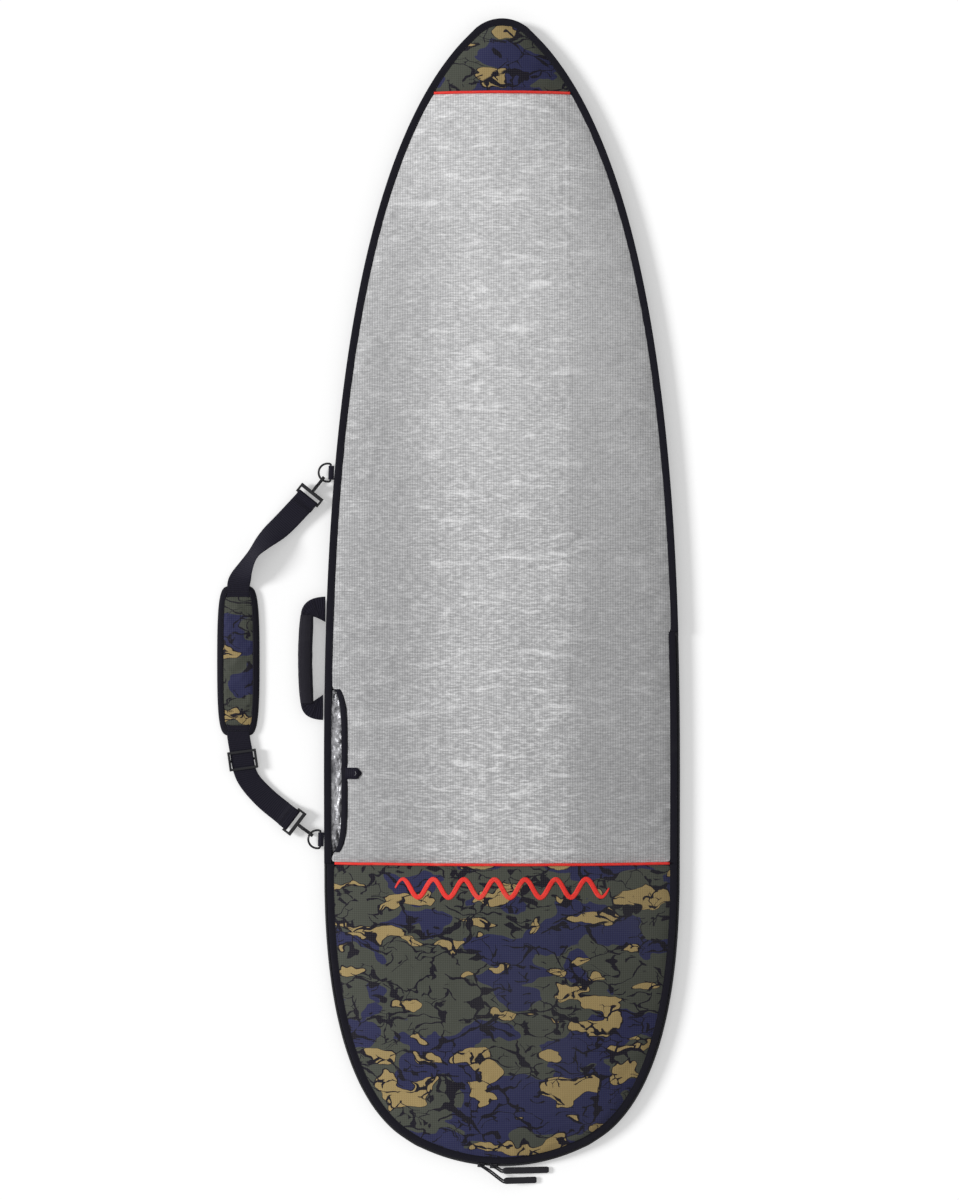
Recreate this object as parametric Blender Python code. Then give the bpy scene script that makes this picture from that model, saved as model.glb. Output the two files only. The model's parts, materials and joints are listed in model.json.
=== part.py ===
"""Padded day bag for a short surfboard, lying flat with its zip closed. Metres.

+Y points to the nose and +Z up from the ground. The origin is at the middle of the
base's underside. The shoulder strap and the carry handle lie on the -X side.
"""

from math import atan2, cos, pi, radians, sin

import bmesh
import bpy
import numpy as np
from mathutils import Matrix, Vector

# Overall sizes
LENGTH = 1.910
WIDTH = 0.592
CROWN = 0.042  # rise of the deck's middle above its rim where the bag is widest

# Outline: a round tail, two fair curves a side and a round nose
TAIL_RADIUS = 0.312
TAIL_ANGLE = 0.50
WIDEST_Y = -0.454
NOSE_RADIUS = 0.067
NOSE_ANGLE = 0.740
TAIL_FULLNESS = (0.348, 0.175)
NOSE_FULLNESS = (0.212, 0.262)
ARC_STEPS = 9
CURVE_STEPS = 13

# Layers
GAP = 0.0003
COVER = 0.0012
FOAM = 0.0050
LINING = 0.0008
BINDING = 0.0130  # width of the bound edge seen from above
BASE_BINDING = 0.0100
BASE_BINDING_HEIGHT = 0.0085
ZIP_SHOW = 0.0050  # how far the zip stands out past the deck's binding
ZIP_WIDTH = 0.0090
ZIP_THICK = 0.0027
RIM_TOP = 0.0200

# Zip and panels
ZIP_START_Y = -0.066
HINGE_Y = -0.450
SEAM_HALF = 0.0026  # half the gap that a piping fills
PIPING_RADIUS = 0.0023
NOSE_SEAM_Y = 0.830
MOTIF_Y = -0.489
MOTIF_HALF = 0.177
MOTIF_WIDTH = 0.0070
MOTIF_RISE = 0.0150
MOTIF_WAVES = 7

# Side pocket
POCKET_FROM = -0.433
POCKET_TO = -0.159
POCKET_DEEP = 0.0185
POCKET_BINDING = 0.0080
POCKET_TAB = (0.0290, 0.0190, 0.0016)
POCKET_TAB_Y = -0.300

# Strap hardware
WEBBING = 0.0380
WEBBING_THICK = 0.0016
RING_WIRE = 0.0018
RING_RADIUS = 0.0150
TAB_WIDTH = 0.0230
TAB_REACH = 0.0065
RING_Z = 0.0105
RING_FORE_Y = 0.1995
RING_AFT_Y = -0.4110
HOOK_FORE_ANGLE = radians(231.5)
HOOK_AFT_ANGLE = radians(142.8)
HOOK_THICK = 0.0050
PIN_RADIUS = 0.0018
LOOP_BAR = 0.0040
LOOP_SLOT = 0.0072

# Shoulder pad
PAD_X = -0.4395
PAD_Y = -0.114
PAD_LENGTH = 0.250
PAD_WIDTH = 0.067
PAD_BULGE = 0.0040
PAD_BINDING = 0.0080
PAD_HEIGHT = 0.0080

# Carry handle
HANDLE_Y = -0.111
GRIP_LENGTH = 0.147
GRIP_WIDTH = 0.0240
GRIP_HEIGHT = 0.0140
GRIP_X = -0.3245
GRIP_BOW = 0.0030
ANCHOR_ROOT = 0.0415
ANCHOR_THICK = 0.0028
HANDLE_Z = 0.0145

COLOURS = {
    "tarp": ((0.45, 0.46, 0.48), 0.45, 0.2),
    "camouflage": ((0.16, 0.17, 0.13), 0.7, 0.0),
    "black_cloth": ((0.015, 0.014, 0.018), 0.7, 0.0),
    "red_cloth": ((0.55, 0.02, 0.02), 0.6, 0.0),
    "foam": ((0.60, 0.60, 0.62), 0.9, 0.0),
    "silver_lining": ((0.55, 0.56, 0.58), 0.35, 0.5),
    "black_plastic": ((0.02, 0.02, 0.02), 0.4, 0.0),
    "dark_metal": ((0.05, 0.05, 0.055), 0.35, 0.9),
}


def clear_scene():
    for obj in list(bpy.data.objects):
        bpy.data.objects.remove(obj)


def material(name):
    found = bpy.data.materials.get(name)
    if found:
        return found
    colour, roughness, metallic = COLOURS[name]
    made = bpy.data.materials.new(name)
    made.use_nodes = True
    shader = made.node_tree.nodes["Principled BSDF"]
    shader.inputs["Base Color"].default_value = (*colour, 1)
    shader.inputs["Roughness"].default_value = roughness
    shader.inputs["Metallic"].default_value = metallic
    return made


def add_object(name, bm, colour, pivot=(0, 0, 0)):
    """An object from a bmesh in world coordinates, with its origin at pivot."""
    bmesh.ops.recalc_face_normals(bm, faces=bm.faces)
    bmesh.ops.translate(bm, verts=bm.verts, vec=-Vector(pivot))
    mesh = bpy.data.meshes.new(name)
    bm.to_mesh(mesh)
    bm.free()
    mesh.shade_smooth()
    mesh.set_sharp_from_angle(angle=radians(35))
    mesh.materials.append(material(colour))
    obj = bpy.data.objects.new(name, mesh)
    obj.location = pivot
    bpy.context.scene.collection.objects.link(obj)
    return obj


# ---- outline -------------------------------------------------------------------------


def bezier(a, b, c, d, steps):
    t = np.linspace(0, 1, steps + 1)[:, None]
    return (1 - t) ** 3 * a + 3 * (1 - t) ** 2 * t * b + 3 * (1 - t) * t * t * c + t**3 * d


def arc(centre, radius, first, last, steps):
    """Points on a circle, with angles measured from +X."""
    angle = np.linspace(first, last, steps + 1)
    return np.array(centre) + radius * np.stack([np.cos(angle), np.sin(angle)], 1)


def half_outline():
    """The +X half of the outline, from the middle of the tail to the tip of the nose."""
    tail = arc((0, TAIL_RADIUS - LENGTH / 2), TAIL_RADIUS, -pi / 2, TAIL_ANGLE - pi / 2, ARC_STEPS)
    nose = arc((0, LENGTH / 2 - NOSE_RADIUS), NOSE_RADIUS, pi / 2 - NOSE_ANGLE, pi / 2, ARC_STEPS)
    widest = np.array([WIDTH / 2, WIDEST_Y])
    ahead = np.array([0, 1.0])
    leaving = np.array([cos(TAIL_ANGLE), sin(TAIL_ANGLE)])
    arriving = np.array([-cos(NOSE_ANGLE), sin(NOSE_ANGLE)])
    lower = np.linalg.norm(widest - tail[-1])
    upper = np.linalg.norm(nose[0] - widest)
    hip = bezier(
        tail[-1],
        tail[-1] + leaving * lower * TAIL_FULLNESS[0],
        widest - ahead * lower * TAIL_FULLNESS[1],
        widest,
        CURVE_STEPS,
    )
    side = bezier(
        widest,
        widest + ahead * upper * NOSE_FULLNESS[0],
        nose[0] - arriving * upper * NOSE_FULLNESS[1],
        nose[0],
        2 * CURVE_STEPS,
    )
    return np.concatenate([tail, hip[1:], side[1:], nose[1:]])


HALF = half_outline()


def whole_outline():
    """The closed outline, anticlockwise from the middle of the tail."""
    mirrored = HALF[-2:0:-1] * np.array([-1, 1])
    return np.concatenate([HALF, mirrored])


LOOP = whole_outline()


def inset_loop(depth):
    """The outline moved inwards."""
    along = np.roll(LOOP, -1, 0) - np.roll(LOOP, 1, 0)
    along /= np.linalg.norm(along, axis=1)[:, None]
    return LOOP + depth * np.stack([-along[:, 1], along[:, 0]], 1)


def half_width(y, depth=0.0):
    """Half the width at y of the outline moved inwards by depth."""
    right = inset_loop(depth)[: len(HALF)]
    return float(np.interp(y, right[:, 1], right[:, 0]))


def loop_lengths():
    steps = np.linalg.norm(np.roll(LOOP, -1, 0) - LOOP, axis=1)
    return np.concatenate([[0], np.cumsum(steps)])


LENGTHS = loop_lengths()
PERIMETER = LENGTHS[-1]


def station(y, side):
    """Distance along the outline from the tail's middle to y on the +X (1) or -X (-1) side."""
    along = float(np.interp(y, HALF[:, 1], LENGTHS[: len(HALF)]))
    return along if side > 0 else PERIMETER - along


def at_station(s, depth):
    ring = inset_loop(depth)
    ring = np.concatenate([ring, ring[:1]])
    s = s % PERIMETER
    return np.array([np.interp(s, LENGTHS, ring[:, 0]), np.interp(s, LENGTHS, ring[:, 1])])


# ---- solids --------------------------------------------------------------------------


def loft(sections, closed=False):
    """A closed solid through rings of points, all with the same number of corners."""
    bm = bmesh.new()
    rings = [[bm.verts.new(p) for p in ring] for ring in sections]
    corners = len(rings[0])
    pairs = list(zip(rings, rings[1:]))
    if closed:
        pairs.append((rings[-1], rings[0]))
    else:
        bm.faces.new(rings[0])
        bm.faces.new(reversed(rings[-1]))
    for near, far in pairs:
        for i in range(corners):
            j = (i + 1) % corners
            bm.faces.new((near[i], far[i], far[j], near[j]))
    return bm


def edge_band(name, colour, span, depths, heights, pivot=(0, 0, 0)):
    """A flat band that follows the outline. A span of None goes all the way round."""
    low, high = heights
    if span is None:
        marks = LENGTHS[:-1]
    else:
        first, last = span
        marks = [s + lap * PERIMETER for lap in (-1, 0, 1) for s in LENGTHS[:-1]]
        marks = [first] + [s for s in marks if first + 0.002 < s < last - 0.002] + [last]
    sections = []
    for s in marks:
        outer, inner = at_station(s, depths[0]), at_station(s, depths[1])
        sections.append([(*outer, low), (*outer, high), (*inner, high), (*inner, low)])
    return add_object(name, loft(sections, closed=span is None), colour, pivot)


def prism(outline, low, high):
    """An upright solid over a plane outline."""
    return loft([[(x, y, low) for x, y in outline], [(x, y, high) for x, y in outline]])


def smooth_route(points, steps):
    """A Catmull-Rom curve through rows of numbers."""
    rows = np.array(points, float)
    rows = np.concatenate([[2 * rows[0] - rows[1]], rows, [2 * rows[-1] - rows[-2]]])
    made = []
    for a, b, c, d in zip(rows, rows[1:], rows[2:], rows[3:]):
        for t in np.arange(steps) / steps:
            made.append(
                0.5 * (2 * b + (c - a) * t + (2 * a - 5 * b + 4 * c - d) * t**2 + (3 * b - a - 3 * c + d) * t**3)
            )
    return np.array([*made, rows[-2]])


def ribbon(route, thickness):
    """A strap along rows of x, y, z, heading, bank (how far it turns on edge) and width."""
    centre = route[:, :3]
    along = np.gradient(centre, axis=0)
    sections = []
    for point, way, (heading, bank, width) in zip(centre, along, route[:, 3:]):
        level = Vector((-sin(heading), cos(heading), 0))
        across = level * cos(bank) + Vector((0, 0, sin(bank)))
        out = Vector(way).cross(across).normalized() * thickness / 2
        across *= width / 2
        middle = Vector(point)
        sections.append([middle + across + out, middle - across + out, middle - across - out, middle + across - out])
    return loft(sections)


def tube(name, colour, points, radius, cyclic=False, sides=2, pivot=(0, 0, 0)):
    """A round bar along points in world coordinates."""
    curve = bpy.data.curves.new(name, "CURVE")
    curve.dimensions = "3D"
    curve.bevel_depth = radius
    curve.bevel_resolution = sides
    curve.use_fill_caps = True
    spline = curve.splines.new("POLY")
    spline.points.add(len(points) - 1)
    for made, point in zip(spline.points, points):
        made.co = (*(Vector(point) - Vector(pivot)), 1)
    spline.use_cyclic_u = cyclic
    curve.materials.append(material(colour))
    obj = bpy.data.objects.new(name, curve)
    obj.location = pivot
    bpy.context.scene.collection.objects.link(obj)
    return obj


def cutter(name, bm):
    """A helper that only shapes other objects."""
    obj = add_object(name, bm, "foam")
    obj.hide_render = True
    obj.display_type = "WIRE"
    return obj


def boolean(obj, other, operation):
    made = obj.modifiers.new(f"{operation.lower()}_{other.name}", "BOOLEAN")
    made.object = other
    made.operation = operation


# ---- shell ---------------------------------------------------------------------------

DECK_RIM = BINDING + GAP
ZIP_BINDING_IN = BINDING + ZIP_SHOW
ZIP_RIM = ZIP_BINDING_IN + GAP
RAMP = 0.010
TIP = 0.0040  # how far the layers stop short of the inset outline's ends


def pocket_depth(y):
    """How far the deck's -X rim is drawn in to make the pocket's mouth."""
    middle, reach = (POCKET_FROM + POCKET_TO) / 2, (POCKET_TO - POCKET_FROM) / 2
    share = min(abs(y - middle) / reach, 1)
    return POCKET_DEEP * (1 - share**5) ** 0.6


def left_rim(y):
    return pocket_depth(y) - half_width(y, ZIP_RIM if y < HINGE_Y else DECK_RIM)


def right_rim(y):
    share = min(max((ZIP_START_Y + RAMP - y) / RAMP, 0), 1)
    return half_width(y, DECK_RIM) * (1 - share) + half_width(y, ZIP_RIM) * share


def deck_height(x, y):
    """Top of the deck's cover."""
    rim = half_width(y, DECK_RIM)
    rise = CROWN * rim / (WIDTH / 2)
    return RIM_TOP - GAP + rise * max(1 - (x / rim) ** 2, 0)


def deck_rows():
    """Every y at which the deck's layers have a row of points, so that they share their facets."""
    end = LENGTH / 2 - DECK_RIM - TIP
    tail = ZIP_RIM + TIP - LENGTH / 2
    rows = list(np.linspace(NOSE_SEAM_Y + SEAM_HALF, end, 8))
    rows += list(np.linspace(ZIP_START_Y + RAMP, NOSE_SEAM_Y - SEAM_HALF, 15))
    rows += [ZIP_START_Y, POCKET_TO + 0.02]
    middle, reach = (POCKET_FROM + POCKET_TO) / 2, (POCKET_TO - POCKET_FROM) / 2
    rows += [middle + reach * sin(pi / 2 * t) for t in np.linspace(-1, 1, 19)]
    rows += [HINGE_Y + GAP]
    rows += list(tail + (HINGE_Y - 2 * SEAM_HALF - tail) * np.linspace(0, 1, 14) ** 1.5)
    return sorted(rows)


ROWS = deck_rows()
COLUMNS = np.sin(np.linspace(-pi / 2, pi / 2, 11)) / 2 + 0.5
FOAM_DOWN = COVER + GAP
LINING_DOWN = FOAM_DOWN + FOAM + GAP
AFT_START = HINGE_Y - 2 * SEAM_HALF


def deck_layer(name, colour, first, last, down, thickness, pivot=(0, 0, 0)):
    """A layer of the crowned deck, down below its surface, between two y values."""
    rows = [y for y in ROWS if first - 1e-6 <= y <= last + 1e-6]
    bm = bmesh.new()
    grid = []
    for y in rows:
        left, right = left_rim(y), right_rim(y)
        line = []
        for share in COLUMNS:
            x = left + (right - left) * share
            top = deck_height(x, y) - down
            line.append((bm.verts.new((x, y, top)), bm.verts.new((x, y, top - thickness))))
        grid.append(line)
    for near, far in zip(grid, grid[1:]):
        for (a, a2), (b, b2), (c, c2), (d, d2) in zip(near, near[1:], far, far[1:]):
            bm.faces.new((a, b, d, c))
            bm.faces.new((a2, c2, d2, b2))
        for end in (0, -1):
            bm.faces.new((near[end][0], far[end][0], far[end][1], near[end][1]))
    for line in (grid[0], grid[-1]):
        for (a, a2), (b, b2) in zip(line, line[1:]):
            bm.faces.new((a, b, b2, a2))
    return add_object(name, bm, colour, pivot)


def flat_layer(name, colour, depth, low, high):
    return add_object(name, prism([tuple(p) for p in inset_loop(depth)], low, high), colour)


def seam_piping(name, y, pivot=(0, 0, 0)):
    """A round piping that follows the deck across a seam."""
    left, right = left_rim(y) + PIPING_RADIUS, right_rim(y) - PIPING_RADIUS
    points = []
    for share in COLUMNS:
        x = left + (right - left) * share
        points.append((x, y, deck_height(x, y) - COVER + PIPING_RADIUS))
    return tube(name, "red_cloth", points, PIPING_RADIUS, pivot=pivot)


def motif(pivot):
    """A plain wavy line across the tail panel."""
    steps = MOTIF_WAVES * 6
    sections = []
    for i in range(steps + 1):
        share = i / steps
        x = MOTIF_HALF * (2 * share - 1)
        y = MOTIF_Y + MOTIF_RISE * sin(2 * pi * MOTIF_WAVES * share)
        near, far = y - MOTIF_WIDTH / 2, y + MOTIF_WIDTH / 2
        low = max(deck_height(x, near), deck_height(x, far)) + 2 * GAP
        high = low + GAP
        sections.append([(x, near, low), (x, near, high), (x, far, high), (x, far, low)])
    return add_object("tail_motif", loft(sections), "red_cloth", pivot)


BAND_LOW = BASE_BINDING_HEIGHT + GAP
ZIP_LOWER = (BAND_LOW, BAND_LOW + ZIP_THICK)
ZIP_UPPER = (ZIP_LOWER[1] + GAP, ZIP_LOWER[1] + GAP + ZIP_THICK)
ZIP_BINDING = (ZIP_UPPER[1] + GAP, RIM_TOP)
HINGE_Z = RIM_TOP - GAP + CROWN
FLAP_PIVOT = (0, HINGE_Y, HINGE_Z)


def make_base():
    flat = BASE_BINDING + GAP
    foam = COVER + GAP
    lining = foam + FOAM + GAP
    flat_layer("base_cover", "black_cloth", flat, 0, COVER)
    flat_layer("base_foam", "foam", flat, foam, foam + FOAM)
    flat_layer("base_lining", "silver_lining", flat, lining, lining + LINING)
    edge_band("base_binding", "black_cloth", None, (0, BASE_BINDING), (0, BASE_BINDING_HEIGHT))


def make_deck():
    nose_end = LENGTH / 2
    deck_layer("deck_cover", "tarp", HINGE_Y, NOSE_SEAM_Y, 0, COVER)
    deck_layer("nose_panel", "camouflage", NOSE_SEAM_Y, nose_end, 0, COVER)
    deck_layer("deck_foam", "foam", HINGE_Y, nose_end, FOAM_DOWN, FOAM)
    deck_layer("deck_lining", "silver_lining", HINGE_Y, nose_end, LINING_DOWN, LINING)
    seam_piping("nose_piping", NOSE_SEAM_Y)


def make_tail_flap():
    tail_end = -LENGTH / 2
    deck_layer("tail_panel", "camouflage", tail_end, AFT_START, 0, COVER, FLAP_PIVOT)
    deck_layer("tail_foam", "foam", tail_end, AFT_START, FOAM_DOWN, FOAM, FLAP_PIVOT)
    deck_layer("tail_lining", "silver_lining", tail_end, AFT_START, LINING_DOWN, LINING, FLAP_PIVOT)
    seam_piping("tail_piping", HINGE_Y - SEAM_HALF, FLAP_PIVOT)
    motif(FLAP_PIVOT)


def make_edges():
    """The bound edges and the two halves of the zip."""
    start = station(ZIP_START_Y, 1)
    right_end, left_end = station(HINGE_Y, 1), station(HINGE_Y, -1)
    flap = (station(AFT_START, -1) - PERIMETER, station(AFT_START, 1))
    stop = 0.006
    edge_band("deck_binding", "black_cloth", (start + GAP, left_end), (0, BINDING), (BAND_LOW, RIM_TOP))
    in_zip = (ZIP_SHOW, ZIP_BINDING_IN)
    edge_band("deck_binding_side", "black_cloth", (right_end, start), in_zip, ZIP_BINDING)
    edge_band("deck_binding_tail", "black_cloth", flap, in_zip, ZIP_BINDING, FLAP_PIVOT)
    lower = (left_end - PERIMETER + stop, start - stop)
    edge_band("zip_base_half", "black_plastic", lower, (0, ZIP_WIDTH), ZIP_LOWER)
    edge_band("zip_side_half", "black_plastic", (right_end, start - stop), (0, ZIP_WIDTH), ZIP_UPPER)
    edge_band("zip_tail_half", "black_plastic", flap, (0, ZIP_WIDTH), ZIP_UPPER, FLAP_PIVOT)
    stop_high = (BAND_LOW, ZIP_UPPER[1])
    edge_band("zip_stop_side", "dark_metal", (start - stop + GAP, start), (0, ZIP_WIDTH), stop_high)
    after = left_end - PERIMETER
    edge_band("zip_stop_tail", "dark_metal", (after + GAP, after + stop - GAP), (0, ZIP_WIDTH), (BAND_LOW, ZIP_LOWER[1]))


def make_pocket():
    """Crumpled lining in the pocket's mouth, the mouth's bound edge and its pull tab."""
    rows = [y for y in ROWS if POCKET_FROM + 0.012 < y < POCKET_TO - 0.012]
    floor, rim, points = [], [], []
    for y in rows:
        outer = -half_width(y, DECK_RIM + GAP)
        inner = left_rim(y) - GAP
        low = deck_height(inner, y) - LINING_DOWN - LINING
        low_out = deck_height(outer, y) - LINING_DOWN - LINING
        high = COVER
        floor.append([(outer, y, low_out), (outer, y, low_out + high), (inner, y, low + high), (inner, y, low)])
        inside = inner + GAP + POCKET_BINDING
        top_out, top_in = deck_height(inner, y) + GAP, deck_height(inside, y) + GAP
        rim.append([(inner, y, top_out), (inner, y, top_out + COVER), (inside, y, top_in + COVER), (inside, y, top_in)])
        points.append((inside, top_in + COVER))
    add_object("pocket_lining", loft(floor), "silver_lining")
    add_object("pocket_binding", loft(rim), "black_cloth")
    length, width, thick = POCKET_TAB
    root = -half_width(POCKET_TAB_Y, DECK_RIM) + POCKET_DEEP + POCKET_BINDING / 2
    height = deck_height(root, POCKET_TAB_Y) + 2 * GAP + COVER + thick / 2 + GAP
    slope = atan2(deck_height(root + length, POCKET_TAB_Y) - deck_height(root, POCKET_TAB_Y), length)
    pivot = Vector((root, POCKET_TAB_Y, height))
    outline = [(0, -width / 2), (length * 0.7, -width / 2), (length, 0), (length * 0.7, width / 2), (0, width / 2)]
    bm = prism(outline, -thick / 2, thick / 2)
    bmesh.ops.transform(bm, matrix=Matrix.Translation(pivot) @ Matrix.Rotation(-slope, 4, "Y"), verts=bm.verts)
    add_object("pocket_tab", bm, "black_cloth", pivot)


# ---- zip hardware --------------------------------------------------------------------

ARC_CENTRE = Vector((0, TAIL_RADIUS - LENGTH / 2, 0))
SLIDER_ANGLES = (radians(-6.4), radians(-2.6))  # from the tail's middle, positive to +X
SLIDER_LENGTH = 0.0120
SLIDER_OVER = 0.0046  # how far the slider's plate reaches in over the zip
SLIDER_OUT = 0.0032
SLIDER_PLATE = 0.0024
EYE_HALF = 0.0024
EYE_HIGH = 0.0030
EYE_BAR = 0.0014
EYE_OUT = 0.0005
CORD_RADIUS = 0.0007
CORD_SIDE = 0.0019
PULL_ENDS = (((0.0030, -0.9790), (0.0575, -0.9790)), ((0.0010, -0.9622), (0.0780, -0.9622)))
PULL_WIDE = 0.0095
PULL_THICK = 0.0036
PULL_LOW = 0.0040  # height of a pull's far end


def slider_frame(angle):
    """A slider's place: x along the zip, y outwards, z up, on the outline at an angle along the tail."""
    turn = Matrix.Rotation(angle, 4, "Z") @ Matrix.Translation((0, -TAIL_RADIUS, 0)) @ Matrix.Scale(-1, 4, (0, 1, 0))
    return Matrix.Translation(ARC_CENTRE) @ turn


def bent_bar(points, half, closed=False):
    """A square bar through points that lie in a plane."""
    points = [Vector(p) for p in points]
    count = len(points)
    normal = (points[1] - points[0]).cross(points[2] - points[1]).normalized()
    sections = []
    for i, point in enumerate(points):
        before = points[i - 1] if closed or i else point
        after = points[(i + 1) % count] if closed or i + 1 < count else point
        side = (after - before).normalized().cross(normal)
        sections.append([point + half * (a * side + b * normal) for a, b in ((1, 1), (-1, 1), (-1, -1), (1, -1))])
    return loft(sections, closed)


def eye_height():
    return ZIP_UPPER[1] + GAP + SLIDER_PLATE + EYE_HIGH / 2


def make_slider(number, angle):
    place = slider_frame(angle)
    top = ZIP_UPPER[1] + GAP
    over = top + SLIDER_PLATE
    profile = [
        (-SLIDER_OVER, top),
        (-SLIDER_OVER, over),
        (SLIDER_OUT, over),
        (SLIDER_OUT, BAND_LOW),
        (GAP, BAND_LOW),
        (GAP, top),
    ]
    half = SLIDER_LENGTH / 2
    bm = loft([[(x, y, z) for y, z in profile] for x in (-half, half)])
    bmesh.ops.transform(bm, matrix=place, verts=bm.verts)
    obj = add_object(f"zip_slider_{number}", bm, "dark_metal", ARC_CENTRE)
    middle = EYE_HALF
    arch = [
        (-middle, EYE_OUT, over - EYE_BAR / 2),
        (-middle, EYE_OUT, over + EYE_HIGH * 0.7),
        (-middle * 0.6, EYE_OUT, over + EYE_HIGH + EYE_BAR / 2),
        (middle * 0.6, EYE_OUT, over + EYE_HIGH + EYE_BAR / 2),
        (middle, EYE_OUT, over + EYE_HIGH * 0.7),
        (middle, EYE_OUT, over - EYE_BAR / 2),
    ]
    bm = bent_bar(arch, EYE_BAR / 2)
    bmesh.ops.transform(bm, matrix=place, verts=bm.verts)
    boolean(obj, cutter(f"eye_{number}", bm), "UNION")


def make_pull(number, angle, ends):
    """A cord that loops through the slider's eye and holds a flat moulded pull."""
    place = slider_frame(angle)
    high = eye_height()
    pivot = place @ Vector((0, EYE_OUT, high))
    near, far = (Vector((*end, 0)) for end in ends)
    reach = (far - pivot).length
    near.z = high - (high - PULL_LOW) * ((near - pivot).xy.length / reach)
    far.z = PULL_LOW
    along = (far - near).normalized()
    side = along.cross(Vector((0, 0, 1))).normalized()
    up = side.cross(along)
    wide, thick = PULL_WIDE / 2, PULL_THICK / 2
    sections = []
    for share, slim in ((0, 0.6), (0.06, 1), (0.94, 1), (1, 0.8)):
        at = near.lerp(far, share)
        ring = [(wide * slim, thick * 0.4), (wide * slim * 0.8, thick), (-wide * slim * 0.8, thick)]
        ring += [(-wide * slim, thick * 0.4)]
        ring += [(a, -b) for a, b in reversed(ring)]
        sections.append([at + a * side + b * up for a, b in ring])
    pull = add_object(f"zip_pull_{number}", loft(sections), "black_plastic", pivot)
    inner, outer = (place @ Vector((0, EYE_OUT + d, high)) for d in (-CORD_SIDE, CORD_SIDE))
    clear = EYE_HALF + EYE_BAR
    past = [place @ Vector((clear, EYE_OUT + d, high)) for d in (CORD_SIDE, -CORD_SIDE)]
    inside = near + 0.003 * along
    loop = [inner, outer, past[0], inside + CORD_SIDE * side, inside - CORD_SIDE * side, past[1]]
    boolean(pull, cutter(f"cord_{number}", round_loop(loop)), "UNION")


def round_loop(points):
    """A closed round cord through points that need not be level."""
    sections = []
    count = len(points)
    for i, point in enumerate(points):
        way = (points[(i + 1) % count] - points[i - 1]).normalized()
        side = way.cross(Vector((0, 0, 1))).normalized()
        up = side.cross(way)
        ring = [(cos(2 * pi * k / 6), sin(2 * pi * k / 6)) for k in range(6)]
        sections.append([point + CORD_RADIUS * (a * side + b * up) for a, b in ring])
    return loft(sections, closed=True)


# ---- strap hardware ------------------------------------------------------------------


def bar_middle(y):
    """Middle of a D-ring's straight bar."""
    return Vector((-half_width(y) - TAB_REACH, y, RING_Z))


FORE_BAR, AFT_BAR = bar_middle(RING_FORE_Y), bar_middle(RING_AFT_Y)
STRAP_AXIS = (FORE_BAR - AFT_BAR).normalized()
STRAP_OUT = Vector((-STRAP_AXIS.y, STRAP_AXIS.x, 0))
RING_ARM = 0.0050
HEM = 0.0008 + 0.0004  # from what a strap wraps to the strap's middle


def ring_centre(bar):
    return bar + STRAP_OUT * RING_ARM


def make_ring(name, bar):
    corner = 0.0020
    points = []
    for along, out in ((-1, 0), (1, 0)):
        points.append(bar + STRAP_AXIS * along * (RING_RADIUS - corner))
    points.append(bar + STRAP_AXIS * RING_RADIUS + STRAP_OUT * corner)
    for step in range(13):
        angle = pi / 2 - pi * step / 12
        points.append(
            ring_centre(bar) + RING_RADIUS * (STRAP_AXIS * sin(angle) + STRAP_OUT * cos(angle))
        )
    points.append(bar - STRAP_AXIS * RING_RADIUS + STRAP_OUT * corner)
    tube(name, "dark_metal", points, RING_WIRE, cyclic=True, pivot=bar)


def make_ring_tab(name, bar):
    """Webbing sewn to the bag's edge and folded round a ring's bar."""
    heading = atan2(STRAP_OUT.y, STRAP_OUT.x)
    around = RING_WIRE + HEM
    ends = [bar + STRAP_AXIS * side * TAB_WIDTH / 2 for side in (-1, 0, 1)]
    reach = min(-half_width(end.y) - end.x for end in ends)
    seam = bar - STRAP_OUT * (reach - GAP)
    places = [seam + Vector((0, 0, around))]
    for step in range(7):
        angle = pi / 2 - pi * step / 6
        places.append(bar + around * (STRAP_OUT * cos(angle) + Vector((0, 0, sin(angle)))))
    places.append(seam - Vector((0, 0, around)))
    rows = [(*p, heading, 0, TAB_WIDTH) for p in places]
    add_object(name, ribbon(np.array(rows), WEBBING_THICK), "black_cloth")


HOOK_TIP, HOOK_HALF = -0.0058, 0.0070
THROAT = (-RING_WIRE - 0.00055, 0.0110)
THROAT_HALF = 0.0044
LIP = 0.0020
GATE_PIVOT = (0.0112, 0.0057)
GATE_HALF = 0.0010
GATE_END = 0.0126
SHANK = (0.0190, 0.0240)
SHANK_HALF = 0.0045
LOOP_FAR = SHANK[1] + GAP
LOOP_HALF = 0.0029
CROSS_BAR = 0.0060
LOOP_REACH = CROSS_BAR + LOOP_SLOT + LOOP_BAR
LOOP_SIDE = 0.0034
PIN_LENGTH = 0.0048


def hook_frame(bar, angle):
    """A hook's place on its ring: x away from the ring along the hook, z up."""
    out = Vector((cos(angle), sin(angle), 0))
    point = ring_centre(bar) + RING_RADIUS * out
    return Matrix.Translation(point) @ Matrix.Rotation(angle, 4, "Z")


def side_plate(outline, width):
    """A solid over an outline in the hook's upright plane."""
    return loft([[(a, s * width / 2, v) for a, v in outline] for s in (-1, 1)])


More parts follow.
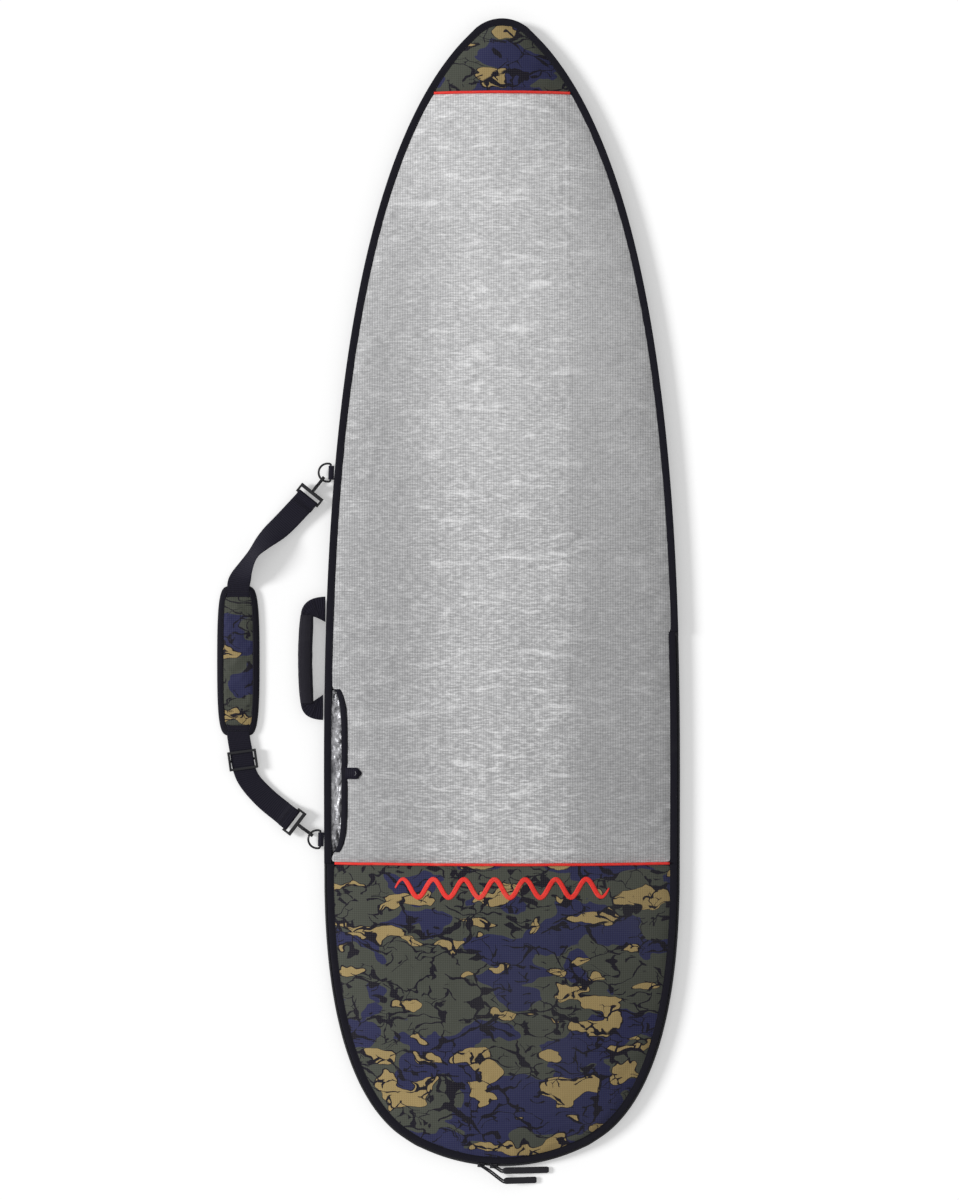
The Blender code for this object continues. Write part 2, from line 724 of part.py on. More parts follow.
def hook_outline():
    nose, high, cut = HOOK_TIP, HOOK_HALF, 0.0030
    lip = [(LIP, THROAT_HALF), (LIP, high), (nose + cut, high), (nose, high - cut), (nose, cut - high)]
    back = [(nose + cut, -high), (0.0150, -high), (SHANK[0], -SHANK_HALF), (SHANK[1], -SHANK_HALF)]
    front = [(SHANK[1], SHANK_HALF), (SHANK[0], SHANK_HALF), (0.0175, high), (GATE_END, high)]
    hollow = [(GATE_END, THROAT_HALF), (THROAT[1], 0.0030), (THROAT[1], -0.0030), (0.0095, -THROAT_HALF)]
    hollow += [(THROAT[0] + 0.0012, -THROAT_HALF), (THROAT[0], -0.0030), (THROAT[0], 0.0030)]
    hollow += [(THROAT[0] + 0.0012, THROAT_HALF)]
    return lip + back + front + hollow


def gate_outline():
    middle_a, middle_v = GATE_PIVOT
    turned = [(middle_a + GATE_HALF * cos(t), middle_v + GATE_HALF * sin(t)) for t in np.linspace(-pi / 2, pi / 2, 7)]
    tip = LIP + GAP
    return [*turned, (tip, middle_v + GATE_HALF), (tip, middle_v - GATE_HALF)]


def make_hook(end, bar, angle):
    """A swivel snap hook: body, sprung gate, and the loop that the webbing goes through."""
    place = hook_frame(bar, angle)

    def placed(name, bm, colour, at):
        bmesh.ops.transform(bm, matrix=place, verts=bm.verts)
        return add_object(name, bm, colour, place @ Vector(at))

    def upright_round(name, radius, near, far):
        rows = [[(a, radius * cos(t), radius * sin(t)) for t in np.arange(12) * pi / 6] for a in (near, far)]
        bm = loft(rows)
        bmesh.ops.transform(bm, matrix=place, verts=bm.verts)
        return cutter(name, bm)

    body = placed(f"hook_{end}", side_plate(hook_outline(), HOOK_THICK), "black_plastic", (0, 0, 0))
    boolean(body, upright_round(f"pin_{end}", PIN_RADIUS, SHANK[0], SHANK[1] + PIN_LENGTH), "UNION")
    placed(
        f"hook_gate_{end}", side_plate(gate_outline(), HOOK_THICK - 0.0008), "dark_metal", (GATE_PIVOT[0], 0, GATE_PIVOT[1])
    )
    half = WEBBING / 2 + 0.0004
    outer = half + LOOP_SIDE
    frame = [(LOOP_FAR, -outer), (LOOP_FAR + LOOP_REACH, -outer), (LOOP_FAR + LOOP_REACH, outer), (LOOP_FAR, outer)]
    slot_from = LOOP_FAR + CROSS_BAR
    slot = [(slot_from, -half), (slot_from + LOOP_SLOT, -half), (slot_from + LOOP_SLOT, half), (slot_from, half)]
    loop = placed(f"hook_loop_{end}", prism(frame, -LOOP_HALF, LOOP_HALF), "black_plastic", (LOOP_FAR, 0, 0))
    bm = prism(slot, -2 * LOOP_HALF, 2 * LOOP_HALF)
    bmesh.ops.transform(bm, matrix=place, verts=bm.verts)
    boolean(loop, cutter(f"slot_{end}", bm), "DIFFERENCE")
    hole = upright_round(f"hole_{end}", PIN_RADIUS + GAP, SHANK[1] - GAP, SHANK[1] + PIN_LENGTH + GAP)
    boolean(loop, hole, "DIFFERENCE")


def wrap_rows(bar, angle):
    """Webbing rows round a hook's loop, from the sewn end underneath to the side that leads away."""
    place = hook_frame(bar, angle)
    near = LOOP_FAR + CROSS_BAR + LOOP_SLOT
    up = LOOP_HALF + HEM
    corner = HEM * 0.72
    tail = near + LOOP_BAR + 0.014
    steps = [
        (tail, -up),
        (near + LOOP_BAR, -up),
        (near, -up),
        (near - corner, -LOOP_HALF - corner),
        (near - HEM, -LOOP_HALF),
        (near - HEM, 0),
        (near - HEM, LOOP_HALF),
        (near - corner, LOOP_HALF + corner),
        (near, up),
        (near + LOOP_BAR, up),
        (near + LOOP_BAR + 0.008, up - 0.0006),
    ]
    return [(*(place @ Vector((a, 0, v))), angle, 0, WEBBING) for a, v in steps]


PAD_TOP_Z = 0.0091  # height of the webbing's middle over the pad's foam
ROUTE_STEPS = 4
UPPER_ROUTE = (  # x, y, z, heading and bank in degrees
    (-0.3660, 0.1120, 0.0100, 228, 8),
    (-0.3960, 0.0850, 0.0155, 225, 40),
    (-0.4140, 0.0640, 0.0180, 235, 58),
    (-0.4280, 0.0400, 0.0150, 245, 42),
    (-0.4370, 0.0200, 0.0110, 258, 10),
    (-0.4390, 0.0080, 0.0096, 266, 2),
)
LOWER_ROUTE = (
    (-0.3660, -0.3660, 0.0085, 145, 0),
    (-0.3930, -0.3440, 0.0070, 133, 0),
    (-0.4180, -0.3170, 0.0070, 112, 0),
    (-0.4290, -0.2950, 0.0086, 97, 0),
    (-0.4345, -0.2650, 0.0090, 96, 0),
)


def route_rows(points):
    return [(x, y, z, radians(heading), radians(bank), WEBBING) for x, y, z, heading, bank in points]


def make_webbing():
    split = PAD_Y
    upper = wrap_rows(FORE_BAR, HOOK_FORE_ANGLE) + route_rows(UPPER_ROUTE)
    upper += [(PAD_X, y, PAD_TOP_Z, radians(270), 0, WEBBING) for y in (-0.008, -0.040, -0.080, split + GAP / 2)]
    lower = wrap_rows(AFT_BAR, HOOK_AFT_ANGLE) + route_rows(LOWER_ROUTE)
    lower += [(PAD_X, y, PAD_TOP_Z, radians(90), 0, WEBBING) for y in (-0.232, -0.190, -0.150, split - GAP / 2)]
    add_object("webbing_fore", ribbon(smooth_route(upper, ROUTE_STEPS), WEBBING_THICK), "black_cloth", FORE_BAR)
    add_object("webbing_aft", ribbon(smooth_route(lower, ROUTE_STEPS), WEBBING_THICK), "black_cloth", FORE_BAR)


# ---- shoulder pad --------------------------------------------------------------------


def pad_outline(inset):
    """The pad's outline: slightly bulged sides and round corners."""
    reach = PAD_LENGTH / 2 - inset
    points = []
    for t in np.linspace(0, 2 * pi, 40, endpoint=False):
        y = abs(sin(t)) ** 0.45 * (1 if sin(t) >= 0 else -1)
        wide = (PAD_WIDTH + PAD_BULGE * (1 - y * y)) / 2 - inset
        x = abs(cos(t)) ** 0.30 * (1 if cos(t) >= 0 else -1)
        points.append((PAD_X + wide * x, PAD_Y + reach * y))
    return points


PAD_BACKING = (0.0005, 0.0020)
PAD_FOAM = (0.0023, 0.0080)
PAD_COVER = (0.0102, 0.0118)
PAD_COVER_SPAN = (-0.2210, -0.0075)


def make_pad():
    inside = PAD_BINDING + GAP
    add_object("pad_backing", prism(pad_outline(inside), *PAD_BACKING), "black_cloth", FORE_BAR)
    add_object("pad_foam", prism(pad_outline(inside), *PAD_FOAM), "foam", FORE_BAR)
    low, high = PAD_COVER_SPAN
    cover = [(x, min(max(y, low), high)) for x, y in pad_outline(inside)]
    clean = [p for i, p in enumerate(cover) if p != cover[i - 1]]
    add_object("pad_cover", prism(clean, *PAD_COVER), "camouflage", FORE_BAR)
    sections = []
    for (x, y), (x2, y2) in zip(pad_outline(0), pad_outline(PAD_BINDING)):
        sections.append([(x, y, GAP), (x, y, PAD_HEIGHT), (x2, y2, PAD_HEIGHT), (x2, y2, GAP)])
    add_object("pad_binding", loft(sections, closed=True), "black_cloth", FORE_BAR)


ADJUSTER_DEEP = 0.0320
ADJUSTER_PLACE = (-0.4318, -0.2790, 0.0088)
ADJUSTER_HEADING = radians(98)
ADJUSTER_BAR = 0.0040
ADJUSTER_RAIL = 0.0038


def make_adjuster():
    """Three bars on two rails: the webbing goes under the outer bars and over the middle one."""
    deep = ADJUSTER_DEEP
    place = Matrix.Translation(ADJUSTER_PLACE) @ Matrix.Rotation(ADJUSTER_HEADING - pi / 2, 4, "Z")
    clear = WEBBING_THICK / 2 + 0.0009
    thick = 0.0020
    rail_in = WEBBING / 2 + 0.0012

    def block(name, low, high):
        bm = prism([(low[0], low[1]), (high[0], low[1]), (high[0], high[1]), (low[0], high[1])], low[2], high[2])
        bmesh.ops.transform(bm, matrix=place, verts=bm.verts)
        return add_object(name, bm, "black_plastic", ADJUSTER_PLACE)

    high = clear + thick
    main = block("adjuster", (rail_in, -deep / 2, -high), (rail_in + ADJUSTER_RAIL, deep / 2, high))
    pieces = [((-rail_in - ADJUSTER_RAIL, -deep / 2, -high), (-rail_in, deep / 2, high))]
    across = rail_in + ADJUSTER_RAIL / 2
    for place_y, low, top in ((-deep / 2, clear, high), (deep / 2 - ADJUSTER_BAR, clear, high)):
        pieces.append(((-across, place_y, low), (across, place_y + ADJUSTER_BAR, top)))
    pieces.append(((-across, -ADJUSTER_BAR / 2, -high), (across, ADJUSTER_BAR / 2, -clear)))
    for number, (low, top) in enumerate(pieces):
        helper = block(f"adjuster_piece_{number}", low, top)
        helper.hide_render = True
        helper.display_type = "WIRE"
        boolean(main, helper, "UNION")


# ---- carry handle --------------------------------------------------------------------

ROOT_MIDDLES = (HANDLE_Y + 0.0830, HANDLE_Y - 0.0800)
ROLL_RADIUS = ANCHOR_THICK / 2
ROOT_OUT = ROLL_RADIUS + 2 * GAP


def root_point(y):
    return Vector((-half_width(y) - ROOT_OUT, y, HANDLE_Z))


HANDLE_AXIS = (root_point(ROOT_MIDDLES[0]) - root_point(ROOT_MIDDLES[1])).normalized()
HANDLE_PIVOT = root_point(ROOT_MIDDLES[1])


def on_handle_axis(y):
    return HANDLE_PIVOT + HANDLE_AXIS * ((y - HANDLE_PIVOT.y) / HANDLE_AXIS.y)


def make_anchor(name, toward):
    """Webbing fanned out along the bag's edge and folded narrow where the grip takes it."""
    middle = ROOT_MIDDLES[0 if toward > 0 else 1]
    far, near = middle + toward * ANCHOR_ROOT / 2, middle - toward * ANCHOR_ROOT / 2
    grip_end = HANDLE_Y + toward * (GRIP_LENGTH / 2 + GAP)
    half = GRIP_WIDTH / 2 - 0.0010
    outline = [
        (on_handle_axis(far).x, far),
        (on_handle_axis(far).x - 0.014, far - toward * 0.001),
        (GRIP_X - half * 0.8, grip_end + toward * 0.012),
        (GRIP_X - half, grip_end),
        (GRIP_X + half, grip_end),
        (on_handle_axis(near).x - 0.006, near),
        (on_handle_axis(near).x, near),
    ]
    low, high = HANDLE_Z - ROLL_RADIUS, HANDLE_Z + ROLL_RADIUS
    obj = add_object(name, prism(outline, low, high), "black_cloth", HANDLE_PIVOT)
    ends = [on_handle_axis(y) for y in (near - toward * 0.0005, far + toward * 0.0005)]
    side = HANDLE_AXIS.cross(Vector((0, 0, 1)))
    rings = []
    for end in ends:
        turns = np.arange(12) * pi / 6 + pi / 12
        rings.append([end + ROLL_RADIUS * (side * cos(t) + Vector((0, 0, sin(t)))) for t in turns])
    boolean(obj, cutter(f"{name}_roll", loft(rings)), "UNION")


def make_grip():
    """The rolled grip, bowed a little away from the bag."""
    sections = []
    for t in np.linspace(-1, 1, 13):
        y = HANDLE_Y + t * GRIP_LENGTH / 2
        x = GRIP_X - GRIP_BOW * (1 - t * t)
        swell = 1 - 0.10 * t**6
        ring = []
        for k in range(12):
            a = 2 * pi * k / 12
            wide = abs(cos(a)) ** 0.7 * (1 if cos(a) >= 0 else -1)
            ring.append((x + swell * GRIP_WIDTH / 2 * wide, y, HANDLE_Z + swell * GRIP_HEIGHT / 2 * sin(a)))
        sections.append(ring)
    add_object("handle_grip", loft(sections), "black_cloth", HANDLE_PIVOT)


def build():
    clear_scene()
    make_base()
    make_deck()
    make_tail_flap()
    make_edges()
    make_pocket()
    for number, (angle, ends) in enumerate(zip(SLIDER_ANGLES, PULL_ENDS), 1):
        make_slider(number, angle)
        make_pull(number, angle, ends)
    for end, bar, angle in (("fore", FORE_BAR, HOOK_FORE_ANGLE), ("aft", AFT_BAR, HOOK_AFT_ANGLE)):
        make_ring_tab(f"ring_tab_{end}", bar)
        make_ring(f"d_ring_{end}", bar)
        make_hook(end, bar, angle)
    make_webbing()
    make_pad()
    make_adjuster()
    make_anchor("handle_anchor_fore", 1)
    make_anchor("handle_anchor_aft", -1)
    make_grip()


build()
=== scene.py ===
"""Looks of the padded surfboard bag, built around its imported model. Metres."""

import json
from math import cos, pi, radians, sin

import bmesh
import bpy
import numpy as np
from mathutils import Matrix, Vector, noise
from mathutils.bvhtree import BVHTree


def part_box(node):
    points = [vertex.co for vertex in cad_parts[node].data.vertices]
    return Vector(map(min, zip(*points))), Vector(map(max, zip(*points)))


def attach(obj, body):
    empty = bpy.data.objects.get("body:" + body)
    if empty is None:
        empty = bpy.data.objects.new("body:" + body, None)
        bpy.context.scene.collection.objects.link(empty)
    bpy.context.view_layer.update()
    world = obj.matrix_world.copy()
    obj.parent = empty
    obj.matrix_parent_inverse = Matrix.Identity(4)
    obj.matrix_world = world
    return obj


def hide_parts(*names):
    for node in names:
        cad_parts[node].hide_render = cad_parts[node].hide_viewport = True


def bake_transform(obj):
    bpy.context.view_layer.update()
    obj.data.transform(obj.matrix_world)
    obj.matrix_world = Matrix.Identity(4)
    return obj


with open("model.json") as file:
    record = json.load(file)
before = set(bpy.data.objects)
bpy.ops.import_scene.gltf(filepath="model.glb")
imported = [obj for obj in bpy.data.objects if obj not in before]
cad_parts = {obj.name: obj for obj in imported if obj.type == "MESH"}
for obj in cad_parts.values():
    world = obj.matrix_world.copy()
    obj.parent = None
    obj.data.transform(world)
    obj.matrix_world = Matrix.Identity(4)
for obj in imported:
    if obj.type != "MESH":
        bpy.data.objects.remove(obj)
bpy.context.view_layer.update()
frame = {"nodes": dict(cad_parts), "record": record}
NODES = frame["nodes"]
SCENE = bpy.context.scene

# ---- camera, light and floor ---------------------------------------------------------

VIEW_HEIGHT = 2.0016  # metres of floor from the top of the picture to its bottom
VIEW_CENTRE = (-0.0375, -0.0125)
CAMERA_HEIGHT = 6.0
SUN_STRENGTH = 2.5
SKY_STRENGTH = 0.45
FLOOR_SIZE = 30.0


def make_camera():
    data = bpy.data.cameras.new("camera")
    data.sensor_fit = "AUTO"
    data.sensor_width = 36.0
    data.lens = data.sensor_width / 2 / (VIEW_HEIGHT / 2 / CAMERA_HEIGHT)
    camera = bpy.data.objects.new("camera", data)
    camera.location = (*VIEW_CENTRE, CAMERA_HEIGHT)
    SCENE.collection.objects.link(camera)
    SCENE.camera = camera


def make_lights():
    sun = bpy.data.lights.new("key", "SUN")
    sun.energy = SUN_STRENGTH
    sun.angle = radians(16)
    key = bpy.data.objects.new("key", sun)
    key.rotation_euler = Vector((-0.80, 0.12, 0.47)).to_track_quat("Z", "Y").to_euler()
    SCENE.collection.objects.link(key)
    world = bpy.data.worlds.new("world")
    world.use_nodes = True
    SCENE.world = world
    tree = world.node_tree
    tree.nodes.clear()
    out = tree.nodes.new("ShaderNodeOutputWorld")
    light, shown = (tree.nodes.new("ShaderNodeBackground") for _ in range(2))
    mix = tree.nodes.new("ShaderNodeMixShader")
    path = tree.nodes.new("ShaderNodeLightPath")
    light.inputs["Color"].default_value = (1, 1, 1, 1)
    light.inputs["Strength"].default_value = SKY_STRENGTH
    shown.inputs["Color"].default_value = (1, 1, 1, 1)
    tree.links.new(seen_rays(tree, path), mix.inputs["Fac"])
    tree.links.new(light.outputs[0], mix.inputs[1])
    tree.links.new(shown.outputs[0], mix.inputs[2])
    tree.links.new(mix.outputs[0], out.inputs["Surface"])


def seen_rays(tree, path):
    """1 for rays that show a surface: camera, glossy and transmission rays."""
    first = tree.nodes.new("ShaderNodeMath")
    first.operation = "MAXIMUM"
    tree.links.new(path.outputs["Is Camera Ray"], first.inputs[0])
    tree.links.new(path.outputs["Is Glossy Ray"], first.inputs[1])
    second = tree.nodes.new("ShaderNodeMath")
    second.operation = "MAXIMUM"
    tree.links.new(first.outputs[0], second.inputs[0])
    tree.links.new(path.outputs["Is Transmission Ray"], second.inputs[1])
    return second.outputs[0]


def make_floor():
    """A white floor that keeps the shadow: part lit surface, part plain white where it is seen."""
    bm = bmesh.new()
    bmesh.ops.create_grid(bm, x_segments=2, y_segments=2, size=FLOOR_SIZE / 2)
    mesh = bpy.data.meshes.new("floor")
    bm.to_mesh(mesh)
    bm.free()
    floor = bpy.data.objects.new("floor", mesh)
    SCENE.collection.objects.link(floor)
    made = bpy.data.materials.new("floor")
    made.use_nodes = True
    tree = made.node_tree
    tree.nodes.clear()
    out = tree.nodes.new("ShaderNodeOutputMaterial")
    lit = tree.nodes.new("ShaderNodeBsdfDiffuse")
    lit.inputs["Color"].default_value = (0.85, 0.85, 0.85, 1)
    glow = tree.nodes.new("ShaderNodeEmission")
    glow.inputs["Color"].default_value = (1, 1, 1, 1)
    path = tree.nodes.new("ShaderNodeLightPath")
    share = tree.nodes.new("ShaderNodeMath")
    share.operation = "MULTIPLY"
    share.inputs[1].default_value = 0.30
    tree.links.new(seen_rays(tree, path), share.inputs[0])
    tree.links.new(share.outputs[0], glow.inputs["Strength"])
    both = tree.nodes.new("ShaderNodeAddShader")
    tree.links.new(lit.outputs[0], both.inputs[0])
    tree.links.new(glow.outputs[0], both.inputs[1])
    tree.links.new(both.outputs[0], out.inputs["Surface"])
    mesh.materials.append(made)


WAVE_TURN = pi / 10  # a wave texture of scale 1 repeats every pi / 10


# ---- material tools ------------------------------------------------------------------


class Look:
    """A material under construction, with short ways to add and join nodes."""

    def __init__(self, name, roughness=0.6, metallic=0.0, sheen=0.0, specular=0.3):
        self.material = bpy.data.materials.new(name)
        self.material.use_nodes = True
        self.tree = self.material.node_tree
        self.shader = self.tree.nodes["Principled BSDF"]
        self.shader.inputs["Roughness"].default_value = roughness
        self.shader.inputs["Metallic"].default_value = metallic
        self.shader.inputs["Specular IOR Level"].default_value = specular
        if sheen:
            self.shader.inputs["Sheen Weight"].default_value = sheen
            self.shader.inputs["Sheen Roughness"].default_value = 0.45
        self.place = self.add("ShaderNodeTexCoord").outputs["Object"]

    def add(self, kind, **settings):
        node = self.tree.nodes.new(kind)
        for key, value in settings.items():
            setattr(node, key, value)
        return node

    def feed(self, node, **inputs):
        for key, value in inputs.items():
            self.put(node.inputs[key.replace("_", " ")], value)
        return node

    def put(self, socket, value):
        if isinstance(value, bpy.types.NodeSocket):
            self.tree.links.new(value, socket)
        elif isinstance(value, tuple) and len(value) == 3 and socket.type == "RGBA":
            socket.default_value = (*value, 1)
        else:
            socket.default_value = value

    def math(self, operation, first, second=0.0, third=0.0):
        node = self.add("ShaderNodeMath", operation=operation)
        for socket, value in zip(node.inputs, (first, second, third)):
            self.put(socket, value)
        return node.outputs[0]

    def times(self, first, second):
        return self.math("MULTIPLY", first, second)

    def line(self, value, slope, start):
        """value x slope + start"""
        return self.math("MULTIPLY_ADD", value, slope, start)

    def axes(self):
        node = self.add("ShaderNodeSeparateXYZ")
        self.put(node.inputs[0], self.place)
        return node.outputs["X"], node.outputs["Y"]

    def scaled(self, scale, place=None, turn=0.0):
        node = self.add("ShaderNodeMapping")
        self.put(node.inputs["Vector"], place or self.place)
        node.inputs["Scale"].default_value = scale
        node.inputs["Rotation"].default_value = (0, 0, turn)
        return node.outputs[0]

    def noise(self, scale, detail=2.0, rough=0.5, place=None, distortion=0.0):
        node = self.add("ShaderNodeTexNoise")
        self.feed(node, Vector=place or self.place, Scale=scale, Detail=detail, Roughness=rough)
        self.put(node.inputs["Distortion"], distortion)
        return node.outputs["Fac"]

    def wave(self, scale, direction, place=None, distortion=0.0):
        node = self.add("ShaderNodeTexWave", bands_direction=direction)
        self.feed(node, Vector=place or self.place, Scale=scale, Distortion=distortion)
        return node.outputs["Fac"]

    def cells(self, scale, place=None, feature="DISTANCE_TO_EDGE"):
        node = self.add("ShaderNodeTexVoronoi", feature=feature)
        self.feed(node, Vector=place or self.place, Scale=scale)
        return node.outputs["Distance"]

    def step(self, value, low, high):
        """0 below low and 1 above high."""
        node = self.add("ShaderNodeMapRange", interpolation_type="SMOOTHSTEP")
        self.put(node.inputs["Value"], value)
        node.inputs["From Min"].default_value = low
        node.inputs["From Max"].default_value = high
        return node.outputs["Result"]

    def mix(self, share, first, second, blend="MIX"):
        node = self.add("ShaderNodeMix", data_type="RGBA", blend_type=blend)
        self.put(node.inputs["Factor"], share)
        self.put(node.inputs[6], first)
        self.put(node.inputs[7], second)
        return node.outputs[2]

    def colour(self, value):
        self.put(self.shader.inputs["Base Color"], value)

    def rough(self, value):
        self.put(self.shader.inputs["Roughness"], value)

    def bump(self, *layers):
        """Stacks height layers, each (height, depth in metres)."""
        normal = None
        for height, depth in layers:
            node = self.add("ShaderNodeBump")
            node.inputs["Strength"].default_value = 1.0
            node.inputs["Distance"].default_value = depth
            self.put(node.inputs["Height"], height)
            if normal:
                self.put(node.inputs["Normal"], normal)
            normal = node.outputs["Normal"]
        self.put(self.shader.inputs["Normal"], normal)
        return self.material


def weave(look, pitch, place=None, turn=0.0):
    """Over-and-under threads of one pitch: warp and weft crowns, 0 to 1."""
    place = look.scaled((1, 1, 1), place, turn)
    warp = look.wave(WAVE_TURN / pitch, "X", place)
    weft = look.wave(WAVE_TURN / pitch, "Y", place)
    return look.times(look.math("ADD", warp, weft), 0.5)


# ---- materials -----------------------------------------------------------------------

TARP_LEFT = (0.315, 0.315, 0.32)
# The middle tone is the tarp's grey raised by a painted highlight along the crown's bright band.
TARP_BAND_HIGHLIGHTED = (0.50, 0.50, 0.505)
TARP_RIGHT = (0.400, 0.400, 0.405)
TARP_FOLD = 0.108
OLIVE = (0.070, 0.075, 0.060)
NAVY = (0.027, 0.029, 0.083)
INK = (0.0080, 0.0066, 0.0130)
TAN = (0.370, 0.272, 0.118)
BLACK = (0.0040, 0.0036, 0.0080)
WEB_BLACK = (0.0038, 0.0033, 0.0085)
RED = (0.90, 0.030, 0.020)
FOAM_GREY = (0.62, 0.62, 0.64)


def tarp_material():
    """Woven coated tarp: a middle band up to a fold painted bright as a highlight along the crown,
    painted streak highlights and painted glints, and uneven threads.
    """
    look = Look("tarp", roughness=0.42, metallic=0.0, specular=0.55)
    threads = weave(look, 0.0042)
    across = look.noise(1.0, 3.0, 0.65, look.scaled((75, 340, 1)))
    down = look.noise(1.0, 3.0, 0.65, look.scaled((340, 60, 1)))
    broad = look.noise(6.0, 3.0, 0.6, look.scaled((0.8, 1.4, 1)))
    streak = look.noise(36, 5.0, 0.72, look.scaled((0.40, 2.0, 1)), distortion=0.5)
    glint = look.noise(150, 3.0, 0.7, look.scaled((0.8, 2.0, 1)))
    x, y = look.axes()
    wander = look.line(look.noise(9.0, 3.0), 0.12, -0.060)
    shifted = look.math("ADD", x, wander)
    left_side = look.step(shifted, -0.200, -0.030)
    fold = look.step(shifted, TARP_FOLD + 0.045, TARP_FOLD - 0.030)
    # The middle band, up to the fold, carries a painted highlight along the crown.
    highlight_band = look.times(left_side, fold)
    height = look.step(y, -0.45, 0.75)
    base = look.mix(highlight_band, look.mix(look.step(x, -0.05, 0.15), TARP_LEFT, TARP_RIGHT), TARP_BAND_HIGHLIGHTED)
    # Lighter towards the top, away from the left edge.
    lighter_to_top = look.times(look.times(height, look.step(x, -0.30, 0.0)), 0.55)
    base = look.mix(lighter_to_top, base, (0.80, 0.80, 0.805))
    base = look.mix(look.times(look.step(broad, 0.36, 0.62), 0.16), base, (0.30, 0.30, 0.305))
    # Light thread streaks: partly the threads' own tone, partly painted highlight, stronger in the
    # highlighted band.
    thread_tone_and_highlight = look.line(highlight_band, 0.45, 0.25)
    base = look.mix(look.times(look.step(across, 0.45, 0.66), thread_tone_and_highlight), base, (0.95, 0.95, 0.955))
    base = look.mix(look.times(look.step(across, 0.50, 0.30), 0.30), base, (0.20, 0.20, 0.205))
    base = look.mix(look.times(look.step(down, 0.50, 0.30), 0.16), base, (0.22, 0.22, 0.225))
    base = look.mix(look.times(threads, 0.30), base, (0.22, 0.22, 0.225))
    # Painted streak highlights and painted glints, near white and stronger in the highlighted band.
    highlight_strength = look.line(highlight_band, 0.60, 0.22)
    painted_streak_highlight = look.times(look.step(streak, 0.51, 0.70), highlight_strength)
    base = look.mix(painted_streak_highlight, base, (0.97, 0.97, 0.975))
    painted_glint = look.times(look.step(glint, 0.58, 0.74), look.times(highlight_strength, 0.6))
    look.colour(look.mix(painted_glint, base, (1.0, 1.0, 1.0)))
    look.rough(look.line(streak, -0.25, 0.55))
    return look.bump((streak, 0.0020), (across, 0.0005), (threads, 0.0004), (glint, 0.0004))


def camouflage_colour(look):
    """Olive ground, navy areas, tan islands with dark rims, and dark broken branches over all."""
    place = look.scaled((1, 1.25, 1))
    warp = look.add("ShaderNodeTexNoise")
    look.feed(warp, Vector=place, Scale=20.0, Detail=2.0, Roughness=0.5)
    pushed = look.add("ShaderNodeVectorMath", operation="MULTIPLY_ADD")
    look.put(pushed.inputs[0], warp.outputs["Color"])
    pushed.inputs[1].default_value = (0.060, 0.060, 0.0)
    look.put(pushed.inputs[2], place)
    bent = pushed.outputs[0]
    navy = look.step(look.noise(12.0, 1.0, 0.35, look.scaled((0.85, 1.25, 1), bent)), 0.520, 0.525)
    island = look.noise(15.0, 1.4, 0.40, look.scaled((0.9, 1.5, 1), bent, 0.25))
    tan = look.step(island, 0.604, 0.608)
    rim = look.step(island, 0.588, 0.592)
    thick = look.noise(34.0, 2.0, 0.5, place)
    heavy = look.step(thick, 0.40, 0.72)
    crack = look.cells(17.0, look.scaled((0.9, 1.3, 1), bent))
    twig = look.cells(36.0, look.scaled((0.9, 1.2, 1), bent, 0.6))
    keep = look.step(look.noise(26.0, 1.0, 0.5, look.scaled((1, 1, 1), place, 1.1)), 0.45, 0.48)
    keep_twig = look.step(look.noise(30.0, 1.0, 0.5, look.scaled((1, 1, 1), place, 2.3)), 0.51, 0.54)
    branch = look.math("LESS_THAN", crack, look.line(heavy, 0.070, 0.018))
    small = look.math("LESS_THAN", twig, look.line(heavy, 0.062, 0.020))
    branch = look.times(branch, keep)
    small = look.times(small, keep_twig)
    colour = look.mix(navy, OLIVE, NAVY)
    colour = look.mix(rim, colour, INK)
    colour = look.mix(tan, colour, TAN)
    return look.mix(look.math("MAXIMUM", branch, small), colour, INK)


def camouflage_material():
    look = Look("camouflage", roughness=0.75, specular=0.12)
    grid = weave(look, 0.0036)
    cloth = look.noise(900, 2.0, 0.6)
    fade = look.noise(5.0, 2.0, 0.5)
    colour = camouflage_colour(look)
    colour = look.mix(look.times(look.step(grid, 0.5, 0.9), 0.13), colour, (0.13, 0.13, 0.125))
    colour = look.mix(look.times(look.step(grid, 0.5, 0.1), 0.22), colour, (0.004, 0.004, 0.005))
    look.colour(look.mix(look.times(look.step(fade, 0.45, 0.8), 0.05), colour, (0.2, 0.2, 0.19)))
    look.rough(look.line(cloth, 0.2, 0.62))
    return look.bump((fade, 0.002), (grid, 0.0003), (cloth, 0.00015))


def cloth_material(name, colour, pitch, roughness=0.75, depth=0.0003, worn=0.10, turn=0.0, sheen=0.02):
    """A plain woven cloth with a little dust and fading."""
    look = Look(name, roughness=roughness, sheen=sheen, specular=0.14)
    threads = weave(look, pitch, turn=turn)
    dust = look.noise(14, 4.0, 0.65)
    lint = look.noise(420, 2.0, 0.6)
    lighter = tuple(c * 1.8 + 0.006 for c in colour)
    base = look.mix(look.times(threads, 0.35), colour, lighter)
    base = look.mix(look.times(look.step(dust, 0.5, 0.85), worn), base, (0.13, 0.13, 0.135))
    look.colour(look.mix(look.times(look.step(lint, 0.62, 0.80), worn), base, (0.2, 0.2, 0.2)))
    look.rough(look.line(lint, 0.15, roughness - 0.08))
    return look.bump((dust, 0.0006), (threads, depth), (lint, 0.0001))


